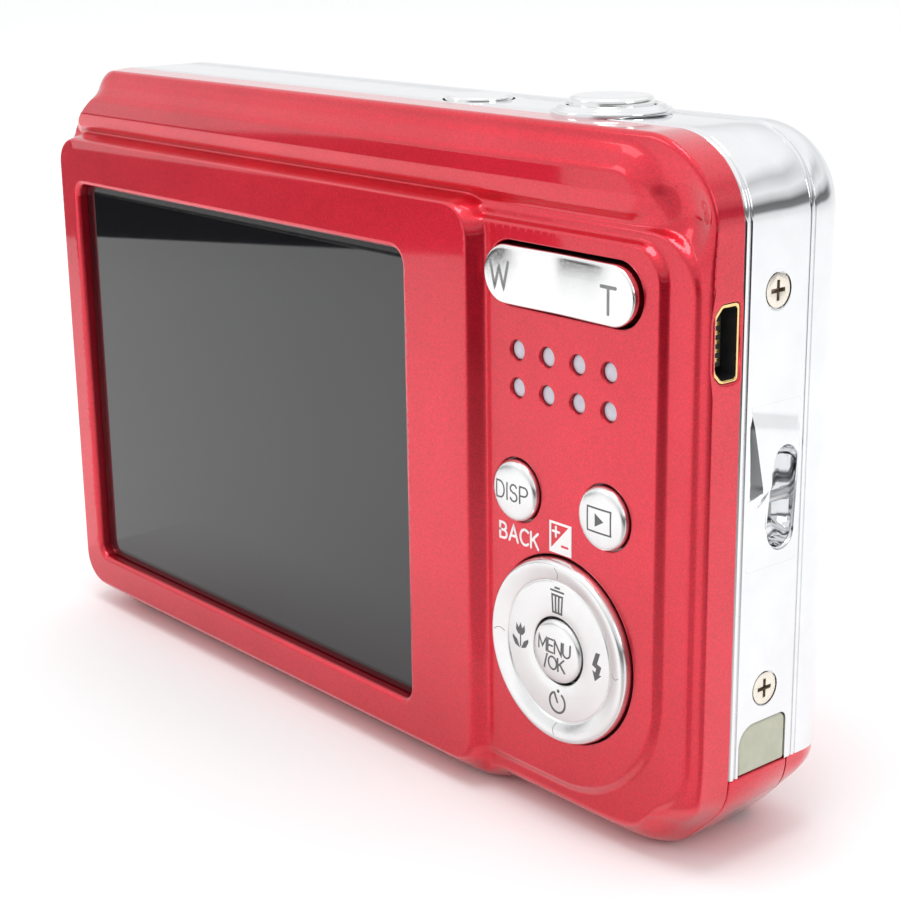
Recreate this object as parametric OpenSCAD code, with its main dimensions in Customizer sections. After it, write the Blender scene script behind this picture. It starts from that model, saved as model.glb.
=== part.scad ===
// Compact digital camera, 2.5 inch screen, retracting lens, flat battery.
// Frame: X across the body (the hand grip and the shutter button are at -X),
// +Y is the back with the screen, -Y is the front with the lens, +Z is up.
// The origin is the bottom centre of the whole object's box.

/* [Body] */
// Width of the casing, without the strap lug
body_w = 92.4; // [92:0.1:93]
// Height of the casing, without the shutter button
body_h = 59.9; // [59.6:0.1:60.4]
// Corner radius of the casing seen from the back
corner_r = 7; // [6.5:0.1:7.5]
// Wall thickness of the moulded covers
wall = 1.3; // [1.2:0.05:1.4]
// How far the strap lug stands out of the side
lug_out = 0.7; // [0.5:0.1:0.9]

/* [Depth] */
// Screen plateau, the rearmost face
y_screen = 11.25; // [11.15:0.05:11.4]
// Button plateau
y_keys = 9.8; // [9.7:0.05:9.9]
// Lowest rear level, the strip round the plateaus
y_base = 8.9; // [8.8:0.05:9]
// Seam between the rear cover and the chrome frame
y_seam = 5.15; // [5.1:0.05:5.2]
// Seam between the chrome frame and the front trim
y_frame = -2.9; // [-3:0.05:-2.8]
// Face of the front cover
y_front = -8.25; // [-8.35:0.05:-8.15]
// Front of the lens ring
y_ring = -11.25; // [-11.35:0.05:-11.2]

/* [Screen] */
// Width of the screen opening
win_w = 55.1; // [54.6:0.1:55.4]
// Height of the screen opening
win_h = 41.9; // [41.5:0.1:42.2]
// Depth of the window below the plateau
win_d = 1.2; // [1:0.1:1.3]

/* [Keys] */
// Outer radius of the four-way ring
ring_r = 8.05; // [7.9:0.05:8.2]
// Radius of the centre key
ok_r = 2.78; // [2.7:0.02:2.84]
// Radius of the two round keys
key_r = 2.66; // [2.6:0.02:2.7]
// Travel of the rear keys
key_travel = 0.4; // [0.3:0.05:0.4]
// Radius of a speaker hole
spk_r = 0.84; // [0.7:0.02:0.9]

/* [Lens] */
// Outer radius of the outer barrel
barrel_r = 14; // [13.8:0.1:14]
// Outer radius of the inner barrel
inner_r = 12.4; // [12.2:0.1:12.4]
// Radius of the opening in front of the lens
eye_r = 4.2; // [4:0.1:4.2]

/* [Tripod] */
// Radius of the quarter inch tripod thread
tripod_r = 3.175; // [3.1:0.005:3.2]
// Depth of the tripod thread
tripod_d = 5.5; // [5:0.1:6]

/* [Hidden] */
$fn = 48;
e = 0.02;
xs = lug_out/2;
hw = body_w/2;
dpx = -31.5; dpz = 16.35;
win_x0 = -12.85; win_z0 = 5.95;
scr_x0 = -21.4; scr_x1 = 45.2; scr_z0 = 2.8; scr_z1 = 53.0;
key_x0 = -41.9; key_z0 = 3.6; key_z1 = 51.8;
lx = 12; lz = 29;
sh_x = -28.1; sh_y = 1.2;
pw_x = -12; pw_y = 1.4;
px = -10.2; drx = px + 1.12; dry0 = -4.3; dry1 = y_seam; drtab = -2.0;
skirt_z = 8;
red = [0.80, 0.06, 0.14]; chrome = [0.86, 0.87, 0.89]; silver = [0.80, 0.80, 0.81];
dark = [0.08, 0.08, 0.09]; board = [0.05, 0.32, 0.20]; steel = [0.62, 0.63, 0.66];

// Everything is drawn in the casing's own frame and moved so that the box is centred.
module place() { translate([xs, 0, 0]) children(); }
// A round-cornered rectangle from x0,z0 to x1,z1, drawn in the X-Z plane.
module rr(x0, z0, x1, z1, r) {
  union() {
    translate([x0 + r, z0]) square([x1 - x0 - 2*r, z1 - z0]);
    translate([x0, z0 + r]) square([x1 - x0, z1 - z0 - 2*r]);
    for (x = [x0 + r, x1 - r], z = [z0 + r, z1 - r]) translate([x, z]) circle(r);
  }
}
// Extrude an X-Z outline from y0 to y1.
module ext(y0, y1) { translate([0, y1, 0]) rotate([90, 0, 0]) linear_extrude(y1 - y0) children(); }
// The casing outline, set in by d.
module outline(d) { rr(-hw + d, d, hw - d, body_h - d, corner_r - min(d, corner_r - 0.6)); }
// A round bar along Y.
module rod(x, z, r, y0, y1) { translate([x, y1, z]) rotate([90, 0, 0]) cylinder(r = r, h = y1 - y0); }
// A round bar along X.
module rodx(y, z, r, x0, x1) { translate([x0, y, z]) rotate([0, 90, 0]) cylinder(r = r, h = x1 - x0); }
module box(x0, x1, y0, y1, z0, z1) { translate([x0, y0, z0]) cube([x1 - x0, y1 - y0, z1 - z0]); }
// A slot with round ends along X.
module pill(cx, cz, hl, hh) { rr(cx - hl, cz - hh, cx + hl, cz + hh, hh - 0.001); }

module rear_outer(d) {
  union() {
    ext(y_seam - (d > 0 ? 1 : 0), y_base - 0.7 - d) outline(d);
    ext(y_base - 0.8 - d, y_base - d) outline(d + 0.6);
    ext(y_base - 1 - d, y_keys - d) rr(key_x0 + d, key_z0 + d, scr_x1 - d, 56.6 - d, 4);
    ext(y_base - 1 - d, y_screen - d) rr(scr_x0 + d, scr_z0 + d, scr_x1 - d, scr_z1 - d, 3);
  }
}
module rear_cover() place() color(red) difference() {
  rear_outer(0);
  rear_outer(wall);
  // screen opening
  ext(y_screen - 3, y_screen + 1) rr(win_x0, win_z0, win_x0 + win_w, win_z0 + win_h, 1.4);
  // key openings
  rod(dpx, dpz, ring_r + 0.15, 8, 11);
  rod(-26.09, 29.09, key_r + 0.12, 8, 11);
  rod(-36.44, 29.13, key_r + 0.12, 8, 11);
  ext(8, 11) pill(-31.4, 47.4, 8.85, 2.7);
  for (i = [0:3], j = [0:1]) rod(-26.03 - 3.53*i, 41.07 - 3.19*j, spk_r, 8, 11);
  // socket opening in the side wall
  box(-hw - 1, -hw + 6, 5.45, 8.48, 41.35, 47.65);
}
module battery_door() place() color(red) difference() {
  union() {
    difference() {
      union() {
        intersection() {
          ext(drtab + 0.06, dry1 - 0.06) outline(0);
          box(-hw - 1, px, -9, 9, -1, skirt_z - 0.1);
        }
        intersection() {
          ext(dry0 + 0.06, dry1 - 0.06) outline(0);
          box(-38.1, px, -9, 9, -1, 2);
        }
      }
      ext(-9, 9) outline(1.2);
    }
    // hinge barrel along the inner end
    rod(px, 1.0, 1.0, dry0 + 0.06, dry1 - 0.06);
  }
  // gap for the bracket's eye
  box(px - 1.25, px + 2, -1.2, 2.0, -1, 5);
  rod(px, 1.0, 0.45, -6, 6);
}
module door_bracket() place() color(steel) difference() {
  union() {
    rod(px, 1.0, 0.95, -1.0, 1.8);
    box(px - 0.5, px + 0.5, -1.0, 1.8, 1.0, 2.1);
    box(px + 0.3, -3.2, -1.0, 1.8, 1.55, 2.1);
    box(px + 1.2, -3.2, -3.2, 4.0, 1.55, 2.1);
  }
  rod(px, 1.0, 0.4, -5, 6);
}
module door_pin() place() color(steel) rod(px, 1.0, 0.4, dry0 + 0.3, dry1 - 0.3);
module dc_cover() place() color([0.60, 0.60, 0.52]) union() {
  box(-hw, -hw + 1.1, -1.5, 4.1, 8.08, 12.3);
  box(-hw + 1.1, -hw + 1.6, -1.0, 0.4, 9.0, 11.7);
}
module front_cover() place() color(red) difference() {
  union() {
    ext(y_front, y_front + 1.2) outline(2.6);
    difference() {
      intersection() {
        union() {
          ext(y_front + 0.9, y_seam) outline(0);
          ext(y_front, y_front + 1) outline(0.9);
        }
        box(-60, 60, -20, 20, -1, skirt_z);
      }
      ext(y_front + 1.2, 9) outline(wall);
    }
    // floor of the finger notch that the door slides into
    box(-42.5, -38.2, dry0 - 0.7, drtab, 1.3, 2.3);
  }
  // battery door opening
  box(-60, drx, drtab, dry1 + 1, -1, 20);
  box(-38.2, drx, dry0, dry1 + 1, -1, 3);
  box(-40.9, -38.1, dry0, drtab + 0.1, -1, 1.28);
  // lens opening
  rod(lx, lz, 14.5, -12, 0);
  // tripod socket
  translate([20, -1.5, -1]) cylinder(r = 4.7, h = 4);
  // flash, focus lamp and microphone
  ext(-12, 0) rr(31.4, 47.6, 42.6, 53.4, 1.2);
  rod(-9, 51, 1.9, -12, 0);
  for (i = [0:2]) rod(-20 - 1.5*i, 51, 0.4, -12, 0);
}
module center_frame() place() color(chrome) difference() {
  intersection() {
    ext(y_frame, y_seam) outline(0);
    box(-60, 60, -20, 20, skirt_z, 70);
  }
  ext(-9, 9) outline(1.25);
  // shutter and power button
  translate([sh_x, sh_y, 50]) cylinder(r = 3.72, h = 20);
  translate([pw_x, pw_y, 50]) cylinder(r = 3.2, h = 20);
  // screws with counterbores
  for (z = [15.1, 47.8]) {
    rodx(1.2, z, 1.5, -60, -hw + 0.45);
    rodx(1.2, z, 0.9, -60, -40);
    rodx(1.2, z, 1.5, hw - 0.45, 60);
    rodx(1.2, z, 0.9, 40, 60);
  }
  // strap lug and rubber cover
  box(-60, -40, -2.0, 4.1, 25.5, 39);
  box(-60, -40, -1.55, 4.15, 0, 12.35);
}
module front_trim() place() color(chrome) difference() {
  intersection() {
    union() {
      ext(y_front + 2.6, y_frame) outline(0);
      ext(y_front + 1.2, y_front + 2.7) outline(0.6);
      ext(y_front + 0.2, y_front + 1.3) outline(1.5);
    }
    box(-60, 60, -20, 20, skirt_z, 70);
  }
  ext(-9, y_front + 1.2) outline(2.6);
  ext(y_front + 1, 9) outline(1.9);
}
module lens_ring() place() color(chrome) difference() {
  union() {
    rod(lx, lz, 20, y_front - 1, y_front);
    rod(lx, lz, 19, y_ring + 0.8, y_front - 0.9);
    rod(lx, lz, 17.8, y_ring, y_ring + 0.9);
  }
  rod(lx, lz, 14.35, -12, 0);
}
module strap_lug() place() color(chrome) difference() {
  union() {
    box(-hw, -hw + 2.4, -2.0, 4.1, 25.5, 39);
    box(-hw - lug_out, -hw, -1.9, 3.4, 30.0, 35.8);
  }
  box(-hw - 1, -hw + 1.8, -1.3, 1.7, 27.2, 35);
  box(-hw + 0.5, -hw + 1.8, -1.3, 3.0, 28.2, 34);
}
module tripod_socket() place() color([0.72, 0.60, 0.35]) difference() {
  union() {
    translate([20, -1.5, 0]) cylinder(r = 4.6, h = 1.3);
    translate([20, -1.5, 1.3]) cylinder(r = 5.2, h = 5.6);
  }
  translate([20, -1.5, -1]) cylinder(r = tripod_r, h = tripod_d + 1);
}
module side_screws() place() color([0.72, 0.66, 0.56]) for (z = [15.1, 47.8]) {
  translate([-hw + 0.45, 1.2, z]) rotate([0, -90, 0]) phillips_head();
  translate([hw - 0.45, 1.2, z]) rotate([0, 90, 0]) phillips_head();
}
module phillips_head() difference() {
  union() { cylinder(r = 1.36, h = 0.4); translate([0, 0, -1.9]) cylinder(r = 0.82, h = 2); }
  for (a = [0, 90]) rotate([0, 0, a]) translate([-0.8, -0.16, -0.2]) cube([1.6, 0.32, 1]);
}
module lcd_window() place() color([0.10, 0.10, 0.11]) ext(y_screen - win_d - 1, y_screen - win_d) rr(win_x0 + 0.08, win_z0 + 0.08, win_x0 + win_w - 0.08, win_z0 + win_h - 0.08, 1.32);
module lcd_panel() place() color([0.25, 0.26, 0.29]) ext(6.6, 8.95) rr(win_x0 - 1.0, win_z0 - 1.0, win_x0 + win_w + 1.0, win_z0 + win_h + 2.4, 2.0);
module lcd_frame() place() color(steel) difference() {
  ext(6.0, 9.4) rr(win_x0 - 1.5, win_z0 - 1.5, win_x0 + win_w + 1.5, win_z0 + win_h + 2.9, 2.4);
  ext(6.55, 10) rr(win_x0 - 1.05, win_z0 - 1.05, win_x0 + win_w + 1.05, win_z0 + win_h + 2.45, 2.0);
}
module zoom_rocker() place() color(silver) union() {
  ext(8.6, 10.6) pill(-31.4, 47.4, 8.6, 2.45);
  ext(7.45, 7.85) pill(-31.4, 47.4, 9.0, 2.9);
  ext(7.8, 8.7) pill(-31.4, 47.4, 7.8, 2.2);
  for (s = [-1, 1]) rod(-31.4 + 6.2*s, 47.4, 0.7, 7.25, 7.5);
}
module shutter_button() place() color(chrome) translate([sh_x, sh_y, 0]) union() {
  translate([0, 0, 59.0]) cylinder(r = 3.5, h = 2.3);
  translate([0, 0, 57.2]) cylinder(r = 4.1, h = 0.9);
  translate([0, 0, 55.6]) cylinder(r = 1.5, h = 4);
}
module shutter_ring() place() color(chrome) translate([sh_x, sh_y, body_h]) difference() {
  union() { cylinder(r = 5.0, h = 0.45); cylinder(r = 4.6, h = 0.75); }
  translate([0, 0, -1]) cylinder(r = 3.75, h = 3);
}
module power_button() place() color(chrome) translate([pw_x, pw_y, 0]) union() {
  translate([0, 0, 58.3]) cylinder(r = 3.0, h = 1.95);
  translate([0, 0, 57.3]) cylinder(r = 3.6, h = 0.8);
  translate([0, 0, 55.6]) cylinder(r = 1.2, h = 4);
}
module round_key(x, z, r, top) {
  rod(x, z, r, 8.2, top);
  rod(x, z, r + 0.5, 7.75, 8.3);
  rod(x, z, 1.0, 7.35, 7.9);
}
module display_button() place() color(silver) round_key(-26.09, 29.09, key_r, 10.6);
module playback_button() place() color(silver) round_key(-36.44, 29.13, key_r, 10.6);
module ok_button() place() color(silver) union() {
  rod(dpx, dpz, ok_r, 8.3, 10.75);
  rod(dpx, dpz, ok_r + 0.35, 7.75, 8.35);
  rod(dpx, dpz, 1.0, 7.35, 7.9);
}
module dpad_ring() place() color(silver) difference() {
  union() {
    rod(dpx, dpz, ring_r, 9.0, 10.35);
    difference() { rod(dpx, dpz, ring_r - 0.15, 10.3, 10.75); rod(dpx, dpz, ring_r - 1.5, 10, 11); }
  }
  rod(dpx, dpz, ok_r + 0.2, 8, 11);
}
module dpad_actuator() place() color([0.3, 0.3, 0.32]) difference() {
  union() {
    rod(dpx, dpz, 7.0, 8.05, 8.55);
    for (a = [0, 90, 180, 270]) rod(dpx + 5.6*cos(a), dpz + 5.6*sin(a), 0.8, 7.4, 8.1);
    difference() { rod(dpx, dpz, 5.2, 8.5, 8.68); rod(dpx, dpz, 4.2, 8, 10); }
  }
  rod(dpx, dpz, ok_r + 0.65, 7, 10);
}
module key_board() place() color(board) difference() {
  ext(5.8, 6.5) rr(-44, 4.5, -16.2, 53, 2);
  box(-50, -40.2, 5, 7, 39, 50);
}
module dome_switches() place() color(steel) {
  for (p = [[-26.09, 29.09], [-36.44, 29.13], [dpx, dpz], [dpx + 5.6, dpz], [dpx - 5.6, dpz], [dpx, dpz + 5.6], [dpx, dpz - 5.6], [-31.4 + 6.2, 47.4], [-31.4 - 6.2, 47.4]])
    rod(p[0], p[1], 1.6, 6.5, 6.8);
}
module main_board() place() color(board) difference() {
  ext(4.6, 5.4) rr(-8, 4.5, 43.5, 54, 1.5);
  rod(42.2, 5.8, 0.8, 4, 6);
  rod(26.5, 52.6, 0.8, 4, 6);
}
module board_chips() place() color(dark) {
  box(-4, 8, 3.6, 4.6, 8, 20);
  box(12, 21, 3.9, 4.6, 7, 16);
  box(26, 34, 3.8, 4.6, 8, 16);
  box(32, 40, 3.7, 4.6, 20, 30);
  box(-4, 2, 3.9, 4.6, 44, 51);
}
module chassis() place() color(steel) difference() {
  union() {
    ext(2.9, 3.5) rr(-7.5, 4.2, 44.2, 56.5, 1.5);
    box(-7.5, -6.9, -5, 3.2, 12, 54);
    rod(42.2, 5.8, 1.6, -6.8, 3);
    rod(26.5, 52.6, 1.6, -6.8, 3);
  }
  rod(lx, lz, 8, 2, 4);
  box(14, 26, 2, 4, 0, 7.4);
  rod(42.2, 5.8, 0.75, -8, 4);
  rod(26.5, 52.6, 0.75, -8, 4);
}
module lens_housing() place() color(dark) difference() {
  union() { rod(lx, lz, 17.3, y_front + 1.3, 2.85); }
  rod(lx, lz, 15.9, -9, 1.6);
  rod(lx, lz, 5.5, 1, 4);
}
module cam_ring() place() color([0.2, 0.2, 0.21]) difference() {
  rod(lx, lz, 15.7, -6.8, 1.3);
  rod(lx, lz, 14.3, -9, 3);
  for (a = [90, 210, 330]) translate([lx, 0, lz]) rotate([0, a, 0]) box(13.5, 15.1, -6.0, 0.2, -0.8, 0.8);
}
module outer_barrel() place() color(silver) difference() {
  rod(lx, lz, barrel_r, -10.8, 1.1);
  rod(lx, lz, inner_r + 0.25, -12, 2);
}
module inner_barrel() place() color(silver) union() {
  difference() {
    rod(lx, lz, inner_r, -10.9, 0.9);
    rod(lx, lz, eye_r, -12, -9);
    rod(lx, lz, 10.9, -10.4, 2);
  }
  // pivot pins of the two barrier blades
  rod(lx - 8.2, lz + 0.03, 0.4, -10.5, -9.4);
  rod(lx + 8.2, lz - 0.03, 0.4, -10.5, -9.4);
}
module blade() {
  union() {
    intersection() { circle(4.6); translate([-10, 0.03]) square([20, 10]); }
    translate([-8.2, 0.03]) square([6, 2.0]);
    translate([-8.2, 0.03]) circle(1.1);
  }
}
module barrier_upper() place() color(dark) translate([lx, -9.85, lz]) rotate([90, 0, 0]) linear_extrude(0.35) difference() { blade(); translate([-8.2, 0.03]) circle(0.45); }
module barrier_lower() place() color(dark) translate([lx, -9.85, lz]) rotate([90, 0, 0]) rotate([0, 0, 180]) linear_extrude(0.35) difference() { blade(); translate([-8.2, 0.03]) circle(0.45); }
module front_lens() place() color([0.55, 0.6, 0.75]) union() {
  rod(lx, lz, 6.0, -9.0, -6.4);
  difference() { rod(lx, lz, 10.8, -9.2, -8.4); rod(lx, lz, 5.9, -10, -8); }
}
module zoom_lens() place() color([0.5, 0.55, 0.7]) rod(lx, lz, 4.6, -4.4, -1.6);
module shutter_unit() place() color(dark) difference() {
  rod(lx, lz, 10.85, -4.2, -1.8);
  rod(lx, lz, 4.6, -5, 0);
}
module focus_carrier() place() color(dark) difference() {
  rod(lx, lz, 7, 0.6, 1.6);
  rod(lx, lz, 4.4, 0, 2);
}
module focus_lens() place() color([0.5, 0.55, 0.7]) rod(lx, lz, 4.4, 0.4, 1.9);
module image_sensor() place() color([0.15, 0.2, 0.3]) box(lx - 4.1, lx + 4.1, 2.0, 3.0, lz - 3.3, lz + 3.3);
module sensor_board() place() color(board) box(lx - 6.2, lx + 6.2, 3.55, 4.3, lz - 5.6, lz + 5.6);
module zoom_motor() place() color(steel) union() {
  rod(-3.6, 49.3, 3.0, -6.0, 0.4);
  rod(-3.6, 49.3, 0.4, -6.6, -6.0);
}
module zoom_gearbox() place() color(dark) difference() {
  box(-6.7, 2.3, 0.5, 2.8, 40.6, 52.4);
  rod(lx, lz, 17.4, -2, 4);
}
module flash_window() place() color([0.9, 0.9, 0.92]) union() {
  ext(y_front + 0.1, y_front + 1.1) rr(31.5, 47.7, 42.5, 53.3, 1.1);
  ext(y_front + 1.2, y_front + 1.8) rr(30.9, 47.1, 43.1, 53.9, 1.1);
  ext(y_front + 1.0, y_front + 1.3) rr(31.5, 47.7, 42.5, 53.3, 1.1);
}
module flash_lamp() place() color([0.75, 0.75, 0.78]) union() {
  difference() { box(31.4, 42.6, -6.3, -1.6, 47.6, 53.4); box(31.9, 42.1, -6.4, -2.4, 48.2, 52.8); }
  rodx(-3.4, 50.5, 0.9, 31.9, 42.1);
}
module flash_capacitor() place() color([0.1, 0.1, 0.25]) translate([39.6, -1.6, 13]) cylinder(r = 3.9, h = 31);
module focus_lamp_window() place() color([0.85, 0.5, 0.2]) union() {
  rod(-9, 51, 1.85, y_front + 0.1, y_front + 1.1);
  rod(-9, 51, 2.4, y_front + 1.2, y_front + 2.0);
  rod(-9, 51, 1.85, y_front + 1.0, y_front + 1.3);
}
module microphone() place() color(steel) rod(-21.5, 51, 2.0, y_front + 1.25, y_front + 2.9);
module speaker() place() color(dark) union() {
  ext(6.55, 7.5) rr(-38.6, 36.0, -24.0, 42.8, 1.5);
}
module speaker_mesh() place() color([0.72, 0.70, 0.76]) ext(8.2, 8.45) rr(-38.4, 36.2, -24.2, 42.6, 1);
module usb_shell() place() color([0.85, 0.68, 0.30]) difference() {
  ext2(-hw + 0.35, -hw + 5.6) dport(0);
  ext2(-hw + 0.2, -hw + 5.2) dport(0.25);
}
// Extrude a Y-Z outline along X.
module ext2(x0, x1) { translate([x0, 0, 0]) rotate([90, 0, 90]) linear_extrude(x1 - x0) children(); }
module dport(d) polygon([[5.6 + d, 41.5 + d], [7.45 - d*0.6, 41.5 + d], [8.35 - d, 42.4 + d*0.6], [8.35 - d, 46.6 - d*0.6], [7.45 - d*0.6, 47.5 - d], [5.6 + d, 47.5 - d]]);
module usb_tongue() place() color(dark) box(-hw + 1.2, -hw + 5.2, 6.5, 7.2, 42.6, 46.4);
module battery_chamber() place() color([0.14, 0.14, 0.15]) difference() {
  box(-43.6, -9.8, -5.0, 5.0, 5.2, 45.2);
  box(-42.9, -10.4, -1.6, 4.5, 0, 44.6);
  box(-37.9, -13.3, -4.3, -1.95, 0, 37);
}
module battery() place() color([0.25, 0.27, 0.32]) box(-42.6, -10.8, -1.45, 4.35, 2.6, 43.2);
module battery_contacts() place() color([0.8, 0.65, 0.3]) for (i = [0:2]) box(-30 + 4*i, -28 + 4*i, 0.6, 2.0, 43.2, 44.6);
module card_slot() place() color(steel) difference() {
  box(-40.4, -11.4, -5.6, -5.0, 6, 36);
  box(-36, -16, -5.7, -4.9, 10, 30);
}
module memory_card() place() color([0.12, 0.2, 0.5]) box(-37.6, -13.6, -4.15, -2.05, 3.4, 35.4);
module internal_screws() place() color(steel) for (p = [[42.2, 5.8], [26.5, 52.6]]) {
  rod(p[0], p[1], 0.74, -1.5, 5.45);
  rod(p[0], p[1], 1.3, 5.4, 5.95);
}

rear_cover();
front_cover();
center_frame();
front_trim();
lens_ring();
battery_door();
door_bracket();
door_pin();
dc_cover();
strap_lug();
tripod_socket();
side_screws();
lcd_window();
lcd_panel();
lcd_frame();
zoom_rocker();
shutter_button();
shutter_ring();
power_button();
display_button();
playback_button();
dpad_ring();
dpad_actuator();
ok_button();
key_board();
dome_switches();
main_board();
board_chips();
chassis();
lens_housing();
cam_ring();
outer_barrel();
inner_barrel();
barrier_upper();
barrier_lower();
front_lens();
zoom_lens();
focus_lens();
shutter_unit();
focus_carrier();
image_sensor();
sensor_board();
zoom_motor();
zoom_gearbox();
flash_window();
flash_lamp();
flash_capacitor();
focus_lamp_window();
microphone();
speaker();
speaker_mesh();
usb_shell();
usb_tongue();
battery_chamber();
battery();
battery_contacts();
card_slot();
memory_card();
internal_screws();
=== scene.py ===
import math
import bpy
import bmesh
import numpy as np
from mathutils import Vector, Matrix
from mathutils.geometry import delaunay_2d_cdt


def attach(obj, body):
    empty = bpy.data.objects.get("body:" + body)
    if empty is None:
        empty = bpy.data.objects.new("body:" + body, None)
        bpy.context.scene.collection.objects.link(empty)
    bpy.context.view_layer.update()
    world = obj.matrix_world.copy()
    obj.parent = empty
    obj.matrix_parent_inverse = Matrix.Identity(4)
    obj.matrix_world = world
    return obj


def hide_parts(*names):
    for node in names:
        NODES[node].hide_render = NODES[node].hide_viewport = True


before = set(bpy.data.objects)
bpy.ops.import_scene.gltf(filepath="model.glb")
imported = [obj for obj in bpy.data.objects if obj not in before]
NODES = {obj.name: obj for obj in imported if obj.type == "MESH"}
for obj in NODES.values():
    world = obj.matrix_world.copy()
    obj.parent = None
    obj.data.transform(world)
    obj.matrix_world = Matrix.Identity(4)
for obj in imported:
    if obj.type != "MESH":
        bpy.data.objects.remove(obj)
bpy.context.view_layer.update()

XS = 0.35            # casing frame to row frame, mm
HW, BH, CR = 46.2, 59.9, 7.0
LX, LZ = 12.0, 29.0
DPX, DPZ = -31.5, 16.35


def P(x, y, z):
    """Casing frame in millimetres to the row frame in metres."""
    return ((x + XS) * 0.001, y * 0.001, z * 0.001)


# ---------------------------------------------------------------- materials
MATS = {}


class Nodes:
    """A small helper that wires a node tree."""

    def __init__(self, name):
        self.m = bpy.data.materials.new("fin_" + name)
        self.m.use_nodes = True
        self.t = self.m.node_tree
        self.b = self.t.nodes["Principled BSDF"]
        self.co = self.t.nodes.new("ShaderNodeTexCoord")
        MATS[name] = self.m

    def n(self, kind, **kw):
        node = self.t.nodes.new(kind)
        for k, v in kw.items():
            if k in ("operation", "blend_type", "data_type", "feature", "wave_type", "bands_direction",
                     "noise_dimensions", "distance", "rings_direction", "voronoi_dimensions"):
                setattr(node, k, v)
            else:
                node.inputs[k.replace("_", " ")].default_value = v
        return node

    def link(self, a, b):
        self.t.links.new(a, b)

    def set(self, **kw):
        for k, v in kw.items():
            self.b.inputs[k.replace("_", " ")].default_value = v

    def noise(self, scale, detail=2.0, rough=0.5, stretch=None):
        src = self.co.outputs["Object"]
        if stretch:
            mp = self.t.nodes.new("ShaderNodeMapping")
            mp.inputs["Scale"].default_value = stretch
            self.link(src, mp.inputs["Vector"])
            src = mp.outputs["Vector"]
        nz = self.n("ShaderNodeTexNoise", Scale=scale, Detail=detail, Roughness=rough)
        self.link(src, nz.inputs["Vector"])
        return nz

    def ramp(self, fac, stops):
        r = self.t.nodes.new("ShaderNodeValToRGB")
        els = r.color_ramp.elements
        els[0].position, els[0].color = stops[0]
        els[1].position, els[1].color = stops[-1]
        for pos, col in stops[1:-1]:
            e = els.new(pos)
            e.color = col
        self.link(fac, r.inputs["Fac"])
        return r

    def rough(self, fac, lo, hi):
        mr = self.n("ShaderNodeMapRange")
        mr.inputs["From Min"].default_value = 0.3
        mr.inputs["From Max"].default_value = 0.7
        mr.inputs["To Min"].default_value = lo
        mr.inputs["To Max"].default_value = hi
        self.link(fac, mr.inputs["Value"])
        self.link(mr.outputs["Result"], self.b.inputs["Roughness"])
        return mr

    def bump(self, height, strength, dist, normal=None):
        bp = self.n("ShaderNodeBump", Strength=strength, Distance=dist)
        self.link(height, bp.inputs["Height"])
        if normal is not None:
            self.link(normal, bp.inputs["Normal"])
        self.link(bp.outputs["Normal"], self.b.inputs["Normal"])
        return bp


def c4(r, g, b):
    return (r, g, b, 1.0)


def srgb(h):
    v = [int(h[i:i + 2], 16) / 255 for i in (0, 2, 4)]
    return tuple(x / 12.92 if x <= 0.04045 else ((x + 0.055) / 1.055) ** 2.4 for x in v) + (1.0,)


def two_tone(name, a, b, metallic, r_lo, r_hi, scale=900, bump=0.0, bscale=4000, coat=0.0, coat_r=0.05, stretch=None, edge=None, spec=0.5):
    """A plain finish with colour drift, roughness drift and fine bump."""
    m = Nodes(name)
    nz = m.noise(scale, 4.0, 0.6, stretch)
    rp = m.ramp(nz.outputs["Fac"], [(0.3, a), (0.7, b)])
    col = rp.outputs["Color"]
    if edge is not None:
        geo = m.t.nodes.new("ShaderNodeNewGeometry")
        er = m.ramp(geo.outputs["Pointiness"], [(0.52, c4(0, 0, 0)), (0.60, c4(1, 1, 1))])
        mx = m.n("ShaderNodeMix", data_type="RGBA")
        m.link(er.outputs["Color"], mx.inputs["Factor"])
        m.link(col, mx.inputs["A"])
        mx.inputs["B"].default_value = edge
        col = mx.outputs["Result"]
    m.link(col, m.b.inputs["Base Color"])
    n2 = m.noise(scale * 2.7, 5.0, 0.6, stretch)
    m.rough(n2.outputs["Fac"], r_lo, r_hi)
    m.set(Metallic=metallic, Coat_Weight=coat, Coat_Roughness=coat_r, Specular_IOR_Level=spec)
    if bump:
        n3 = m.noise(bscale, 3.0, 0.6, stretch)
        m.bump(n3.outputs["Fac"], bump, 0.00004)
    return m.m


def red_paint():
    m = Nodes("red_paint_flake")
    vor = m.n("ShaderNodeTexVoronoi", Scale=9500.0)
    m.link(m.co.outputs["Object"], vor.inputs["Vector"])
    cloud = m.noise(130.0, 3.0, 0.5)
    base = m.ramp(cloud.outputs["Fac"], [(0.25, c4(0.660, 0.008, 0.028)), (0.75, c4(0.750, 0.013, 0.038))])
    flake = m.ramp(vor.outputs["Color"], [(0.15, c4(0.86, 0.84, 0.85)), (0.9, c4(1.14, 1.16, 1.18))])
    mul = m.n("ShaderNodeMix", data_type="RGBA", blend_type="MULTIPLY")
    mul.inputs["Factor"].default_value = 1.0
    m.link(base.outputs["Color"], mul.inputs["A"])
    m.link(flake.outputs["Color"], mul.inputs["B"])
    m.link(mul.outputs["Result"], m.b.inputs["Base Color"])
    rz = m.noise(700.0, 4.0, 0.6)
    m.rough(rz.outputs["Fac"], 0.30, 0.37)
    m.set(Metallic=0.82, Coat_Weight=1.0, Coat_Roughness=0.045, Coat_IOR=1.5)
    # each flake leans a little its own way
    nm = m.noise(7000.0, 1.0, 0.5)
    m.bump(nm.outputs["Fac"], 0.10, 0.00002)
    return m.m


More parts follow.
